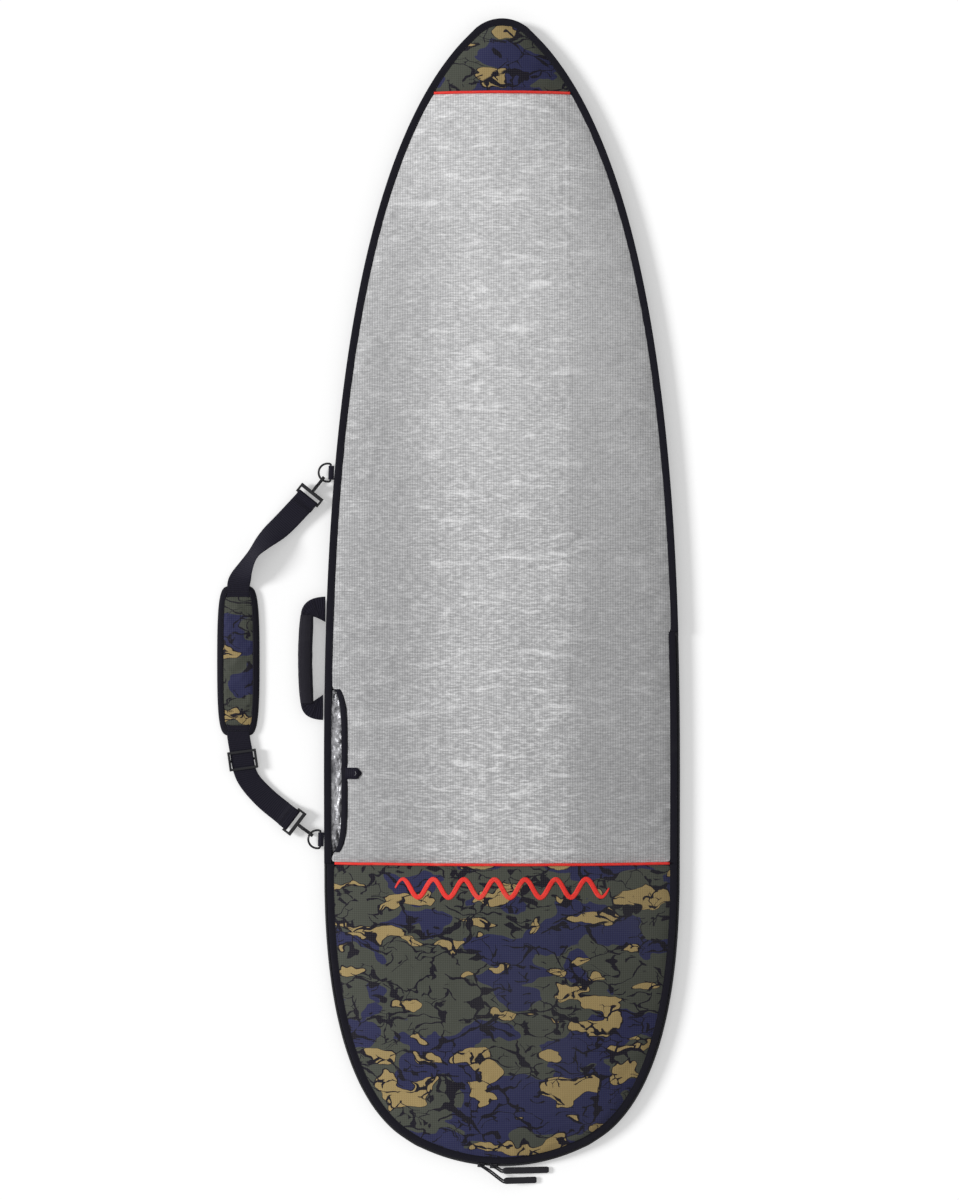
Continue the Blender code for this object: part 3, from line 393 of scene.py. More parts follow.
def webbing_material():
    """Narrow ribs across the webbing, carried by the mesh's own length and width."""
    look = Look("webbing", roughness=0.62, sheen=0.0, specular=0.10)
    uv = look.add("ShaderNodeUVMap").outputs["UV"]
    ribs = look.wave(WAVE_TURN / 0.0034, "X", uv)
    runs = look.wave(WAVE_TURN / 0.0022, "Y", uv)
    lint = look.noise(500, 2.0, 0.6)
    base = look.mix(look.times(ribs, 0.5), WEB_BLACK, (0.020, 0.018, 0.032))
    base = look.mix(look.times(runs, 0.15), base, (0.035, 0.035, 0.045))
    look.colour(look.mix(look.times(look.step(lint, 0.6, 0.8), 0.10), base, (0.15, 0.15, 0.16)))
    look.rough(look.line(lint, 0.15, 0.55))
    return look.bump((ribs, 0.0004), (runs, 0.0002), (lint, 0.0001))


def silver_material():
    look = Look("silver_lining", roughness=0.34, metallic=0.55, specular=0.5)
    crumple = look.cells(55, look.scaled((1.4, 0.8, 1)))
    soft = look.noise(60, 5.0, 0.6, distortion=0.8)
    threads = weave(look, 0.0012)
    # Colour follows the crumple's height noise: painted shade in its hollows and painted highlights on
    # its crests.
    look.colour(look.mix(look.step(soft, 0.3, 0.75), (0.20, 0.20, 0.215), (0.62, 0.62, 0.64)))
    look.rough(look.line(soft, 0.3, 0.2))
    return look.bump((crumple, 0.004), (soft, 0.003), (threads, 0.0001))


def plastic_material(name, colour, roughness, grain=900.0):
    look = Look(name, roughness=roughness, specular=0.3)
    pits = look.noise(grain, 3.0, 0.6)
    scuff = look.noise(70, 4.0, 0.7, distortion=0.5)
    paler = tuple(c + 0.06 for c in colour)
    look.colour(look.mix(look.times(look.step(scuff, 0.56, 0.85), 0.14), colour, paler))
    look.rough(look.line(scuff, 0.25, roughness - 0.12))
    return look.bump((pits, 0.00008), (scuff, 0.0001))


def metal_material():
    look = Look("dark_metal", roughness=0.36, metallic=0.9)
    brushed = look.noise(300, 3.0, 0.6, look.scaled((1, 6, 6)))
    worn = look.noise(90, 4.0, 0.7)
    look.colour(look.mix(look.step(worn, 0.48, 0.80), (0.018, 0.018, 0.021), (0.085, 0.083, 0.082)))
    look.rough(look.line(brushed, 0.25, 0.2))
    return look.bump((brushed, 0.00006), (worn, 0.00005))


def foam_material():
    look = Look("foam", roughness=0.9, specular=0.2)
    pores = look.cells(900, feature="F1")
    tone = look.noise(30, 3.0, 0.6)
    look.colour(look.mix(tone, tuple(c * 0.8 for c in FOAM_GREY), FOAM_GREY))
    look.rough(look.line(tone, 0.1, 0.85))
    return look.bump((pores, 0.0003))


def red_material():
    look = Look("red_trim", roughness=0.55, sheen=0.05, specular=0.35)
    threads = weave(look, 0.0009, turn=0.78)
    tone = look.noise(45, 3.0, 0.6)
    base = look.mix(look.step(tone, 0.45, 0.9), RED, (0.92, 0.10, 0.07))
    look.colour(look.mix(look.times(threads, 0.3), base, (0.55, 0.015, 0.012)))
    look.rough(look.line(tone, 0.2, 0.45))
    return look.bump((threads, 0.0002), (tone, 0.0003))


LOOKS = {
    "tarp": tarp_material(),
    "camouflage": camouflage_material(),
    "binding": cloth_material("binding", BLACK, 0.0016, depth=0.0004, worn=0.05),
    "base_cloth": cloth_material("base_cloth", (0.018, 0.018, 0.020), 0.0018, depth=0.0005, worn=0.20),
    "webbing": webbing_material(),
    "grip_cloth": cloth_material("grip_cloth", (0.013, 0.012, 0.018), 0.0012, depth=0.0003, worn=0.08),
    "red_trim": red_material(),
    "foam": foam_material(),
    "silver_lining": silver_material(),
    "zip_plastic": plastic_material("zip_plastic", (0.006, 0.006, 0.009), 0.50),
    "pull_rubber": plastic_material("pull_rubber", (0.006, 0.0055, 0.009), 0.60, 600.0),
    "hook_plastic": plastic_material("hook_plastic", (0.006, 0.006, 0.008), 0.46),
    "dark_metal": metal_material(),
    "thread": cloth_material("thread", (0.022, 0.021, 0.028), 0.0008, worn=0.05),
}


def dress_nodes():
    """Every CAD node takes the look of its own material slot."""
    for part in frame["record"]["subparts"]:
        mesh = NODES[part["node"]].data
        mesh.materials.clear()
        mesh.materials.append(LOOKS[part["material_slot"]])


# ---- outline and deck surface --------------------------------------------------------

LOOP_STEPS = 1600
RIM = 0.0133  # where the deck's cloth starts, in from the outline
ZIP_RIM = 0.0183


def hull(points):
    rows = sorted(set(map(tuple, np.round(points, 5))))

    def side(ordered):
        kept = []
        for p in ordered:
            while len(kept) > 1:
                a, b = kept[-2], kept[-1]
                if (b[0] - a[0]) * (p[1] - a[1]) - (b[1] - a[1]) * (p[0] - a[0]) > 1e-9:
                    break
                kept.pop()
            kept.append(p)
        return kept[:-1]

    return np.array(side(rows) + side(rows[::-1]))


def smoothed(rows, steps, closed=False):
    """A Catmull-Rom curve through rows of numbers."""
    rows = np.array(rows, float)
    if closed:
        rows = np.concatenate([rows[-1:], rows, rows[:2]])
    else:
        rows = np.concatenate([[2 * rows[0] - rows[1]], rows, [2 * rows[-1] - rows[-2]]])
    made = []
    for a, b, c, d in zip(rows, rows[1:], rows[2:], rows[3:]):
        for t in np.arange(steps) / steps:
            square = (2 * a - 5 * b + 4 * c - d) * t**2
            made.append(0.5 * (2 * b + (c - a) * t + square + (3 * b - a - 3 * c + d) * t**3))
    return np.array(made if closed else [*made, rows[-2]])


def run_along(points):
    """How far along its path each point is."""
    return np.concatenate([[0], np.cumsum(np.linalg.norm(np.diff(points, axis=0), axis=1))])


def evenly(rows, count, closed=False):
    """Rows spaced evenly along their first columns, and how far along each one is."""
    if closed:
        rows = np.concatenate([rows, rows[:1]])
    reach = run_along(rows[:, :3])
    at = np.linspace(0, reach[-1], count, endpoint=not closed)
    return np.stack([np.interp(at, reach, column) for column in rows.T], axis=1), at


def node_points(name):
    return np.array([v.co for v in NODES[name].data.vertices])


EDGE = hull(node_points("base_binding")[:, :2])
EDGE, EDGE_AT = evenly(smoothed(EDGE, 6, closed=True), LOOP_STEPS, closed=True)
EDGE_STEP = EDGE_AT[1]
tangent = np.roll(EDGE, -3, 0) - np.roll(EDGE, 3, 0)
EDGE_OUT = np.stack([tangent[:, 1], -tangent[:, 0]], 1) / np.linalg.norm(tangent, axis=1)[:, None]
RIM_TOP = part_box("deck_binding")[1][2]
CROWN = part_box("deck_cover")[1][2] - RIM_TOP
HALF_WIDTH = EDGE[:, 0].max()
HINGE_Y = -0.450
NOSE_Y = 0.830
WIDTHS = {}


def half_width(y, depth):
    if depth not in WIDTHS:
        inside = EDGE - depth * EDGE_OUT
        right = inside[inside[:, 0] >= 0]
        WIDTHS[depth] = right[np.argsort(right[:, 1])]
    table = WIDTHS[depth]
    return float(np.interp(y, table[:, 1], table[:, 0], left=0.0, right=0.0))


def deck_height(x, y):
    rim = max(half_width(y, RIM), 1e-4)
    return RIM_TOP + CROWN * rim / HALF_WIDTH * max(1 - (x / rim) ** 2, 0)


def on_edge(index, depth):
    index = index % LOOP_STEPS
    return EDGE[index] - depth * EDGE_OUT[index]


def nearest_index(x, y):
    return int(np.argmin(np.hypot(EDGE[:, 0] - x, EDGE[:, 1] - y)))


def squared(value, power):
    """value to a power with its sign kept, which squares off a circle."""
    return abs(value) ** power * (1 if value >= 0 else -1)


def rough(x, y, z, scale, seed=0.0):
    return noise.noise(Vector((x * scale + seed, y * scale, z * scale)))


# ---- mesh tools ----------------------------------------------------------------------


def add_mesh(name, points, faces, look, uv=None):
    mesh = bpy.data.meshes.new(name)
    mesh.from_pydata([tuple(map(float, p)) for p in points], [], faces)
    if uv is not None:
        layer = mesh.uv_layers.new(name="UVMap")
        corners = np.array([loop.vertex_index for loop in mesh.loops])
        layer.data.foreach_set("uv", np.asarray(uv, float)[corners].ravel())
    mesh.shade_smooth()
    mesh.materials.append(LOOKS[look])
    obj = bpy.data.objects.new(name, mesh)
    SCENE.collection.objects.link(obj)
    return obj


def swept(name, sections, look, closed=False, at=None):
    """Joins sections of points; the mesh carries metres along and metres round as its UV map."""
    sections = [np.asarray(s, float) for s in sections]
    count, wide = len(sections), len(sections[0])
    points = np.concatenate(sections)
    if at is None:
        at = run_along(np.array([s.mean(0) for s in sections]))
    round_at = run_along(sections[count // 2])
    uv = np.stack([np.repeat(at, wide), np.tile(round_at, count)], 1)
    faces = []
    for i in range(count if closed else count - 1):
        j = (i + 1) % count
        for k in range(wide):
            m = (k + 1) % wide
            faces.append((i * wide + k, i * wide + m, j * wide + m, j * wide + k))
    if not closed:
        faces.append(tuple(range(wide))[::-1])
        faces.append(tuple((count - 1) * wide + k for k in range(wide)))
    obj = add_mesh(name, points, faces, look, uv)
    bm = bmesh.new()
    bm.from_mesh(obj.data)
    bmesh.ops.recalc_face_normals(bm, faces=bm.faces)
    bm.to_mesh(obj.data)
    bm.free()
    return obj


def swept_tube(name, path, radius, look, closed=False, sides=12):
    path = np.asarray(path, float)
    count = len(path)
    ways = np.roll(path, -1, 0) - np.roll(path, 1, 0) if closed else np.gradient(path, axis=0)
    side = Vector((0.13, 0.21, 0.97)).cross(Vector(ways[0])).normalized()
    sections = []
    for i in range(count):
        way = Vector(ways[i]).normalized()
        side = (side - way * side.dot(way)).normalized()
        up = way.cross(side)
        turns = np.arange(sides) * 2 * pi / sides
        sections.append([Vector(path[i]) + radius * (side * cos(t) + up * sin(t)) for t in turns])
    return swept(name, sections, look, closed=closed)


def stitches(name, path, look="thread", pitch=0.0042, length=0.0030, radius=0.00042):
    """Raised stitches along a path of points, each a short rounded bar."""
    path = np.asarray(path, float)
    reach = run_along(path)
    at = np.arange(pitch / 2, reach[-1], pitch)
    middles = np.stack([np.interp(at, reach, column) for column in path.T], 1)
    ahead = np.stack([np.interp(at + 0.0005, reach, column) for column in path.T], 1)
    points, faces = [], []
    for middle, forward in zip(middles, ahead):
        way = Vector(forward - middle)
        if way.length < 1e-7:
            continue
        way.normalize()
        side = way.cross(Vector((0, 0, 1))).normalized()
        up = side.cross(way)
        first = len(points)
        for along, size in ((-0.5, 0.35), (-0.3, 1.0), (0.3, 1.0), (0.5, 0.35)):
            for k in range(5):
                turn = 2 * pi * k / 5
                spread = radius * size * (side * cos(turn) + up * sin(turn))
                points.append(Vector(middle) + way * along * length + spread)
        for ring_number in range(3):
            for k in range(5):
                low, high = first + ring_number * 5, first + ring_number * 5 + 5
                m = (k + 1) % 5
                faces.append((low + k, low + m, high + m, high + k))
        faces.append(tuple(first + k for k in range(5))[::-1])
        faces.append(tuple(first + 15 + k for k in range(5)))
    return add_mesh(name, points, faces, look)


def copy_node(name, look, bevel=0.0004):
    """A copy of a CAD node with softened edges, standing for it."""
    mesh = NODES[name].data.copy()
    obj = bpy.data.objects.new(f"look_{name}", mesh)
    SCENE.collection.objects.link(obj)
    mesh.materials.clear()
    mesh.materials.append(LOOKS[look])
    bm = bmesh.new()
    bm.from_mesh(mesh)
    bmesh.ops.remove_doubles(bm, verts=bm.verts, dist=1e-5)
    bmesh.ops.dissolve_limit(bm, angle_limit=radians(2), verts=bm.verts, edges=bm.edges)
    sharp = [e for e in bm.edges if len(e.link_faces) == 2 and e.calc_face_angle(0) > radians(30)]
    bmesh.ops.bevel(
        bm, geom=sharp, offset=bevel, segments=2, profile=0.6, affect="EDGES", clamp_overlap=True
    )
    bm.to_mesh(mesh)
    bm.free()
    mesh.shade_smooth()
    mesh.set_sharp_from_angle(angle=radians(50))
    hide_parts(name)
    return obj


# ---- cloth skins ---------------------------------------------------------------------

POCKET = (-0.433, -0.159)
POCKET_DEEP = 0.0185
POCKET_TAB_Y = -0.300
ZIP_STOP_Y = -0.066
PIPING_RADIUS = 0.0023
CREASES = (  # long wrinkles across the tarp: from x, y to x, y, and how high
    (-0.262, 0.080, 0.010, 0.092, 0.0026),
    (-0.150, -0.036, 0.120, -0.033, 0.0028),
    (0.120, 0.085, 0.240, 0.062, 0.0024),
    (-0.100, 0.150, 0.060, 0.190, 0.0020),
    (-0.190, 0.330, -0.080, 0.310, 0.0022),
    (-0.240, -0.230, -0.060, -0.200, 0.0010),
    (0.090, 0.560, 0.160, 0.590, 0.0010),
    (-0.230, 0.160, -0.200, 0.280, 0.0010),
    (0.040, -0.270, 0.200, -0.250, 0.0010),
    (-0.140, 0.560, -0.020, 0.575, 0.0012),
    (0.040, 0.060, 0.220, 0.000, 0.0008),
)


def pocket_depth(y):
    middle, reach = sum(POCKET) / 2, (POCKET[1] - POCKET[0]) / 2
    return POCKET_DEEP * (1 - min(abs(y - middle) / reach, 1) ** 5) ** 0.6


def left_rim(y):
    return -half_width(y, RIM) + pocket_depth(y)


def right_rim(y):
    return half_width(y, RIM if y > ZIP_STOP_Y else ZIP_RIM)


def grid_skin(name, rows, columns, left, right, height, look):
    """A cloth of rows across the bag, from left(y) to right(y), at height(x, y)."""
    points = []
    for y in rows:
        for u in np.linspace(0, 1, columns):
            x = left(y) + (right(y) - left(y)) * u
            points.append((x, y, height(x, y)))
    faces = [
        (i * columns + k, i * columns + k + 1, (i + 1) * columns + k + 1, (i + 1) * columns + k)
        for i in range(len(rows) - 1)
        for k in range(columns - 1)
    ]
    return add_mesh(name, points, faces, look)


CLOTH_FRAMES = 16


def buckle(obj, shrink, stiffness):
    """Simulates cloth held by its rim and slightly too large for it. Returns each point's rise."""
    count = len(obj.data.vertices)
    start = np.empty(count * 3)
    obj.data.vertices.foreach_get("co", start)
    start = start.reshape(-1, 3)
    edges = {}
    for face in obj.data.polygons:
        for key in face.edge_keys:
            edges[key] = edges.get(key, 0) + 1
    rim = {v for key, uses in edges.items() if uses == 1 for v in key}
    group = obj.vertex_groups.new(name="pin")
    group.add(sorted(rim), 1.0, "REPLACE")
    made = obj.modifiers.new("cloth", "CLOTH")
    cloth = made.settings
    cloth.quality = 6
    cloth.mass = 0.15
    cloth.effector_weights.gravity = 0.0
    cloth.vertex_group_mass = "pin"
    cloth.shrink_min = -shrink
    cloth.use_pressure = True
    cloth.uniform_pressure_force = 1.5
    cloth.tension_stiffness = cloth.compression_stiffness = 25
    cloth.shear_stiffness = 12
    cloth.bending_stiffness = stiffness
    made.collision_settings.use_collision = False
    made.point_cache.frame_end = CLOTH_FRAMES
    for number in range(1, CLOTH_FRAMES + 1):
        SCENE.frame_set(number)
    held = obj.evaluated_get(bpy.context.evaluated_depsgraph_get()).to_mesh()
    end = np.empty(count * 3)
    held.vertices.foreach_get("co", end)
    rise = end.reshape(-1, 3)[:, 2] - start[:, 2]
    obj.modifiers.remove(made)
    obj.vertex_groups.remove(group)
    SCENE.frame_set(1)
    return rise


SKIN_EDGE = 0.010  # over which a skin's creases fade towards its seams
MOST_RISE = 0.0032
MOST_DIP = 0.0003


def subdivided(obj):
    """Puts the mesh, subdivided once, in place of the object's own."""
    finer = obj.modifiers.new("finer", "SUBSURF")
    finer.levels = finer.render_levels = 1
    mesh = bpy.data.meshes.new_from_object(
        obj.evaluated_get(bpy.context.evaluated_depsgraph_get())
    )
    obj.modifiers.clear()
    obj.data = mesh


def deck_skin(name, rows, columns, left, right, look, shrink):
    """A deck cloth: it buckles between its seams, then is subdivided and finely creased."""
    coarse = grid_skin(name, rows, columns, left, right, deck_height, look)
    rise = np.clip(buckle(coarse, shrink, 0.8), -MOST_RISE, MOST_RISE)
    for vertex, up in zip(coarse.data.vertices, rise):
        vertex.co.z += up if up > 0 else up * MOST_DIP / MOST_RISE
    subdivided(coarse)
    for vertex in coarse.data.vertices:
        x, y = vertex.co.xy
        inside = min(x - left(y), right(y) - x, rows[-1] - y, y - rows[0])
        full = min(max(inside / SKIN_EDGE, 0), 1)
        pucker = 0.0009 * max(rough(x, y, 0, 85, 3.0), -0.2) * max(1 - inside / 0.035, 0)
        crease = 1 - abs(rough(x * 0.45, y * 1.6, 0, 24, 9.0))
        crease = 0.0016 * max(crease - 0.86, 0) / 0.14 * (0.5 + rough(x, y, 0, 7, 5.0))
        soft = 0.0010 * (rough(x, y * 1.7, 0, 9) + 0.4)
        vertex.co.z += full * max(crease + soft + pucker, -0.0002) + 0.0003 * full
        if look == "tarp":
            vertex.co.z += full * long_crease(x, y)
            off_fold = abs(x - TARP_FOLD - 0.004 * rough(x, y, 0, 4))
            vertex.co.z += full * 0.0009 * max(1 - off_fold / 0.004, 0)
    coarse.data.shade_smooth()
    return coarse


def long_crease(x, y):
    rise = 0.0
    for x0, y0, x1, y1, high in CREASES:
        way = Vector((x1 - x0, y1 - y0))
        offset = Vector((x - x0, y - y0))
        share = offset.dot(way) / way.length_squared
        if 0 < share < 1:
            apart = abs(offset.cross(way)) / way.length + 0.004 * rough(x, y, 0, 22, x0 * 40)
            rise += high * max(1 - abs(apart) / 0.0075, 0) ** 1.3 * sin(pi * share)
    return rise


def spaced(first, last, step):
    return np.linspace(first, last, max(int(abs(last - first) / step), 3) + 1)


def narrowing(first, last, step, end_step):
    """Rows that crowd towards the last one, where the outline closes."""
    count = int(abs(last - first) / step)
    t = np.linspace(0, 1, count + 1)
    power = max(1.0, step / end_step) ** 0.5
    return first + (last - first) * (1 - (1 - t) ** power)


def make_skins():
    tuck = 0.0015
    rows = spaced(HINGE_Y + 0.0022, NOSE_Y - 0.0022, 0.009)

    def deck_left(y):
        return left_rim(y) + 0.0055 * pocket_depth(y) / POCKET_DEEP - 0.0005

    deck = deck_skin("deck_skin", rows, 62, deck_left, lambda y: right_rim(y) + tuck, "tarp", 0.010)
    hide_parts("deck_cover")
    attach(deck, "shell")
    tip = EDGE[:, 1].max() - RIM + 0.001
    rows = narrowing(NOSE_Y + 0.0022, tip, 0.007, 0.002)

    def nose_edge(y):
        return half_width(y, RIM - tuck) + 0.0004

    nose = deck_skin("nose_skin", rows, 25, lambda y: -nose_edge(y), nose_edge, "camouflage", 0.008)
    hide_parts("nose_panel")
    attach(nose, "shell")
    end = EDGE[:, 1].min() + ZIP_RIM - 0.001
    rows = narrowing(HINGE_Y - 0.0022, end, 0.009, 0.002)

    def tail_edge(y):
        return half_width(y, ZIP_RIM - tuck) + 0.0004

    rows = rows[::-1]
    tail = deck_skin("tail_skin", rows, 62, lambda y: -tail_edge(y), tail_edge, "camouflage", 0.010)
    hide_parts("tail_panel")
    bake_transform(tail)
    return tail


def make_tail_inner():
    """The flap's foam with its silver lining under it."""
    down = (0.0050, 0.0086)
    rows = narrowing(HINGE_Y - 0.004, EDGE[:, 1].min() + 0.0215, 0.006, 0.003)[::-1]
    columns = 40
    points, faces = [], []
    for layer in down:
        for y in rows:
            wide = half_width(y, 0.0195) + 0.0004
            for u in np.linspace(-1, 1, columns):
                dip = 0.0007 * rough(u * wide, y, 0, 30, 2.0) if layer == down[1] else 0
                points.append((u * wide, y, deck_height(u * wide, y) - layer + dip))
    layer_size = len(rows) * columns

    def corner(layer, i, k):
        return layer * layer_size + i * columns + k

    for i in range(len(rows) - 1):
        for k in range(columns - 1):
            quad = [(i, k), (i, k + 1), (i + 1, k + 1), (i + 1, k)]
            faces.append([corner(0, *q) for q in quad])
            faces.append([corner(1, *q) for q in quad[::-1]])
    last = len(rows) - 1
    around = [(0, k) for k in range(columns)] + [(i, columns - 1) for i in range(1, last + 1)]
    around += [(last, k) for k in range(columns - 2, -1, -1)]
    around += [(i, 0) for i in range(last - 1, 0, -1)]
    for a, b in zip(around, around[1:] + around[:1]):
        faces.append([corner(0, *b), corner(0, *a), corner(1, *a), corner(1, *b)])
    inner = add_mesh("tail_inner", points, faces, "silver_lining")
    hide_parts("tail_foam", "tail_lining")
    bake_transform(inner)


def make_linings():
    """The cloth under the bag, the silver lining on its floor and the one under the deck."""
    low, high = EDGE[:, 1].min() + 0.0105, EDGE[:, 1].max() - 0.0105
    middle, reach = (low + high) / 2, (high - low) / 2
    rows = [middle + reach * sin(t) for t in np.linspace(-pi / 2, pi / 2, 190)]

    def side(y):
        return half_width(y, 0.0100) + 0.0002

    def under(x, y):
        broad, fine = rough(x, y, 0, 14, 3.0), rough(x, y, 0, 60, 1.0)
        return 0.0004 + 0.0006 * max(broad, 0) + 0.0003 * max(fine, 0)

    base = grid_skin("base_skin", rows, 52, lambda y: -side(y), side, under, "base_cloth")
    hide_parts("base_cover")
    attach(base, "shell")

    def inside(x, y):
        return 0.0078 + 0.0012 * abs(rough(x, y, 0, 26, 5.0)) + 0.0006 * abs(rough(x, y, 0, 90, 2.0))

    floor = grid_skin("floor_lining", rows, 80, lambda y: -side(y), side, inside, "silver_lining")
    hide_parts("base_lining", "base_foam")
    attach(floor, "shell")
    rows = narrowing(HINGE_Y + 0.0015, EDGE[:, 1].max() - RIM - 0.002, 0.009, 0.003)

    def ceiling(x, y):
        return deck_height(x, y) - 0.0086 + 0.0008 * rough(x, y, 0, 26, 5.0)

    left, right = lambda y: left_rim(y) + 0.001, lambda y: right_rim(y) - 0.001
    above = grid_skin("deck_inside", rows, 60, left, right, ceiling, "silver_lining")
    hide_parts("deck_lining", "deck_foam")
    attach(above, "shell")


# ---- pipings and the wavy line -------------------------------------------------------


def piping_path(y, reach):
    path = [(x, y, deck_height(x, y) + 0.0011) for x in np.linspace(-reach, reach, 160)]
    return [(x, y + 0.0004 * rough(x, y, 0, 30, 8.0), z) for x, y, z in path]


def make_pipings():
    path = piping_path(NOSE_Y, half_width(NOSE_Y, RIM))
    nose = swept_tube("piping_nose", path, PIPING_RADIUS, "red_trim")
    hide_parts("nose_piping")
    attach(nose, "shell")
    path = piping_path(HINGE_Y, half_width(HINGE_Y, ZIP_RIM))
    tail = swept_tube("piping_tail", path, PIPING_RADIUS, "red_trim")
    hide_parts("tail_piping")
    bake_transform(tail)


MOTIF = (0.177, -0.489, 0.015, 7, 0.0078)  # half length, y, rise, waves, width


def make_motif(skin):
    """A raised wavy line printed across the tail panel, laid on the skin that is there."""
    tree = BVHTree.FromObject(skin, bpy.context.evaluated_depsgraph_get())
    half, middle, rise, waves, wide = MOTIF
    steps = waves * 28

    def over(x, y, lift):
        hit = tree.ray_cast(Vector((x, y, 0.2)), Vector((0, 0, -1)))[0]
        return (x, y, (hit.z if hit else deck_height(x, y)) + lift)

    sections = []
    for i in range(steps + 1):
        share = i / steps
        x = half * (2 * share - 1)
        y = middle + rise * sin(2 * pi * waves * share)
        slope = rise * 2 * pi * waves / (2 * half) * cos(2 * pi * waves * share)
        taper = min(1, 12 * share + 0.3, 12 * (1 - share) + 0.3)
        across = Vector((-slope, 1)).normalized() * wide / 2 * taper
        section = [over(x + u * across.x, y + u * across.y, 0.0006) for u in np.linspace(-1, 1, 5)]
        low = [over(x + u * across.x, y + u * across.y, -0.0004) for u in (1, -1)]
        sections.append(section + low)
    line = swept("wavy_line", sections, "red_trim")
    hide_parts("tail_motif")
    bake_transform(line)


# ---- bound edges and zip -------------------------------------------------------------


def edge_run(first, last):
    """Loop positions from first to last, anticlockwise."""
    if last <= first:
        last += LOOP_STEPS
    return range(first, last + 1)


def bound_edge(name, indices, profile, look, waver=0.0007, seed=0.0, closed=False):
    """A binding swept along the outline. profile holds (inset, height, share of the waver)."""
    sections = []
    for index in indices:
        x, y = EDGE[index % LOOP_STEPS]
        push = waver * (rough(x, y, 0, 42, seed) + 0.4 * rough(x, y, 0, 160, seed + 4))
        swell = 0.0004 * rough(x, y, 0, 60, seed + 7)
        section = []
        for inset, height, share in profile:
            px, py = on_edge(index, inset + push * share)
            section.append((px, py, height + swell * share))
        sections.append(section)
    at = np.array([EDGE_STEP * i for i in range(len(sections))])
    return swept(name, sections, look, closed=closed, at=at)


def rounded(outer, inner, low, high, soft=0.0016):
    """A binding's section: flat bottom, rounded outer and inner top edges, and a slight crown."""
    rows = [(inner, low, 1), (outer, low, 0)]
    for t in np.linspace(0, pi / 2, 5):
        rows.append((outer + soft * (1 - cos(t)), high - soft * (1 - sin(t)), 0))
    for share in (0.25, 0.5, 0.75):
        rows.append((outer + (inner - outer) * share, high + 0.0004, 1 if share > 0.6 else 0))
    for t in np.linspace(pi / 2, 0, 4):
        rows.append((inner - soft * 0.8 * (1 - cos(t)), high - soft * 0.8 * (1 - sin(t)), 1))
    return rows


def seam_path(indices, inset, height):
    return [(*on_edge(i, inset), height) for i in indices]


def make_edges():
    count = LOOP_STEPS
    zip_start = nearest_index(half_width(ZIP_STOP_Y, 0), ZIP_STOP_Y)
    right = nearest_index(half_width(HINGE_Y, 0), HINGE_Y)
    left = nearest_index(-half_width(HINGE_Y, 0), HINGE_Y)
    top = RIM_TOP + 0.0004
    fore = edge_run(zip_start, left)
    tape = rounded(0.0002, 0.0136, 0.0088, top)
    binding = bound_edge("binding_fore", fore, tape, "binding", seed=1.0)
    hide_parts("deck_binding")
    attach(binding, "shell")
    thread = stitches("stitches_fore", seam_path(fore, 0.0112, top + 0.0005))
    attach(thread, "shell")
    side = edge_run(right, zip_start)
    tape = rounded(0.0052, 0.0188, 0.0148, top + 0.0003)
    binding = bound_edge("binding_side", side, tape, "binding", seed=2.0)
    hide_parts("deck_binding_side")
    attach(binding, "shell")
    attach(stitches("stitches_side", seam_path(side, 0.0166, top + 0.0008)), "shell")
    tail = edge_run(left, right)
    binding = bound_edge("binding_tail", tail, tape, "binding", seed=3.0)
    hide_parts("deck_binding_tail")
    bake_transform(binding)
    thread = stitches("stitches_tail", seam_path(tail, 0.0166, top + 0.0008))
    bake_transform(thread)
    base = rounded(0.0, 0.0098, 0.0004, 0.0082, soft=0.0018)
    binding = bound_edge("binding_base", range(count), base, "binding", seed=5.0, closed=True)
    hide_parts("base_binding")
    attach(binding, "shell")
    lower = zip_half("zip_lower", edge_run(left + 2, zip_start - 2), 0.0090, 0.0114, 0.0)
    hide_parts("zip_base_half")
    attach(lower, "shell")
    upper = zip_half("zip_upper_side", edge_run(right, zip_start - 2), 0.0119, 0.0143, 0.5)
    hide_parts("zip_side_half")
    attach(upper, "shell")
    upper = zip_half("zip_upper_tail", tail, 0.0119, 0.0143, 0.5)
    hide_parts("zip_tail_half")
    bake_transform(upper)


ZIP_SECTION = (  # inset, and height as a share of half the coil's
    *((0.0090, -0.35), (0.0046, -0.45), (0.0040, -1), (0.0008, -1), (0.0002, 0)),
    *((0.0008, 1), (0.0040, 1), (0.0046, 0.45), (0.0090, 0.35)),
)


def zip_half(name, indices, low, high, phase):
    """Half of a coil zip: a tape inside and a coil of teeth that shows past the binding."""
    indices = list(indices)
    pitch = 0.0030
    reach = EDGE_STEP * (len(indices) - 1)
    teeth = int(reach / pitch * 6)
    middle, size = (low + high) / 2, (high - low) / 2
    sections = []
    for i in range(teeth + 1):
        at = i / teeth * (len(indices) - 1)
        index, share = int(at), at - int(at)
        point = on_edge(indices[index], 0) * (1 - share)
        point = point + on_edge(indices[min(index + 1, len(indices) - 1)], 0) * share
        out = EDGE_OUT[indices[index] % LOOP_STEPS]
        swell = 0.82 + 0.18 * cos(2 * pi * (i / 6 + phase))
        sections.append(
            [(*(point - inset * out), middle + size * height * swell) for inset, height in ZIP_SECTION]
        )
    at = np.linspace(0, reach, len(sections))
    return swept(name, sections, "zip_plastic", at=at)


# ---- side pocket ---------------------------------------------------------------------


POCKET_SECTION = (  # share of the binding's width, and lift over the deck
    *((0, -0.0022), (0, 0.0010), (0.10, 0.0022)),
    *((0.5, 0.0028), (0.9, 0.0023), (1, 0.0008)),
)
TAB_SECTION = ((-1, -1), (1, -1), (1.04, 0), (1, 1), (-1, 1), (-1.04, 0))


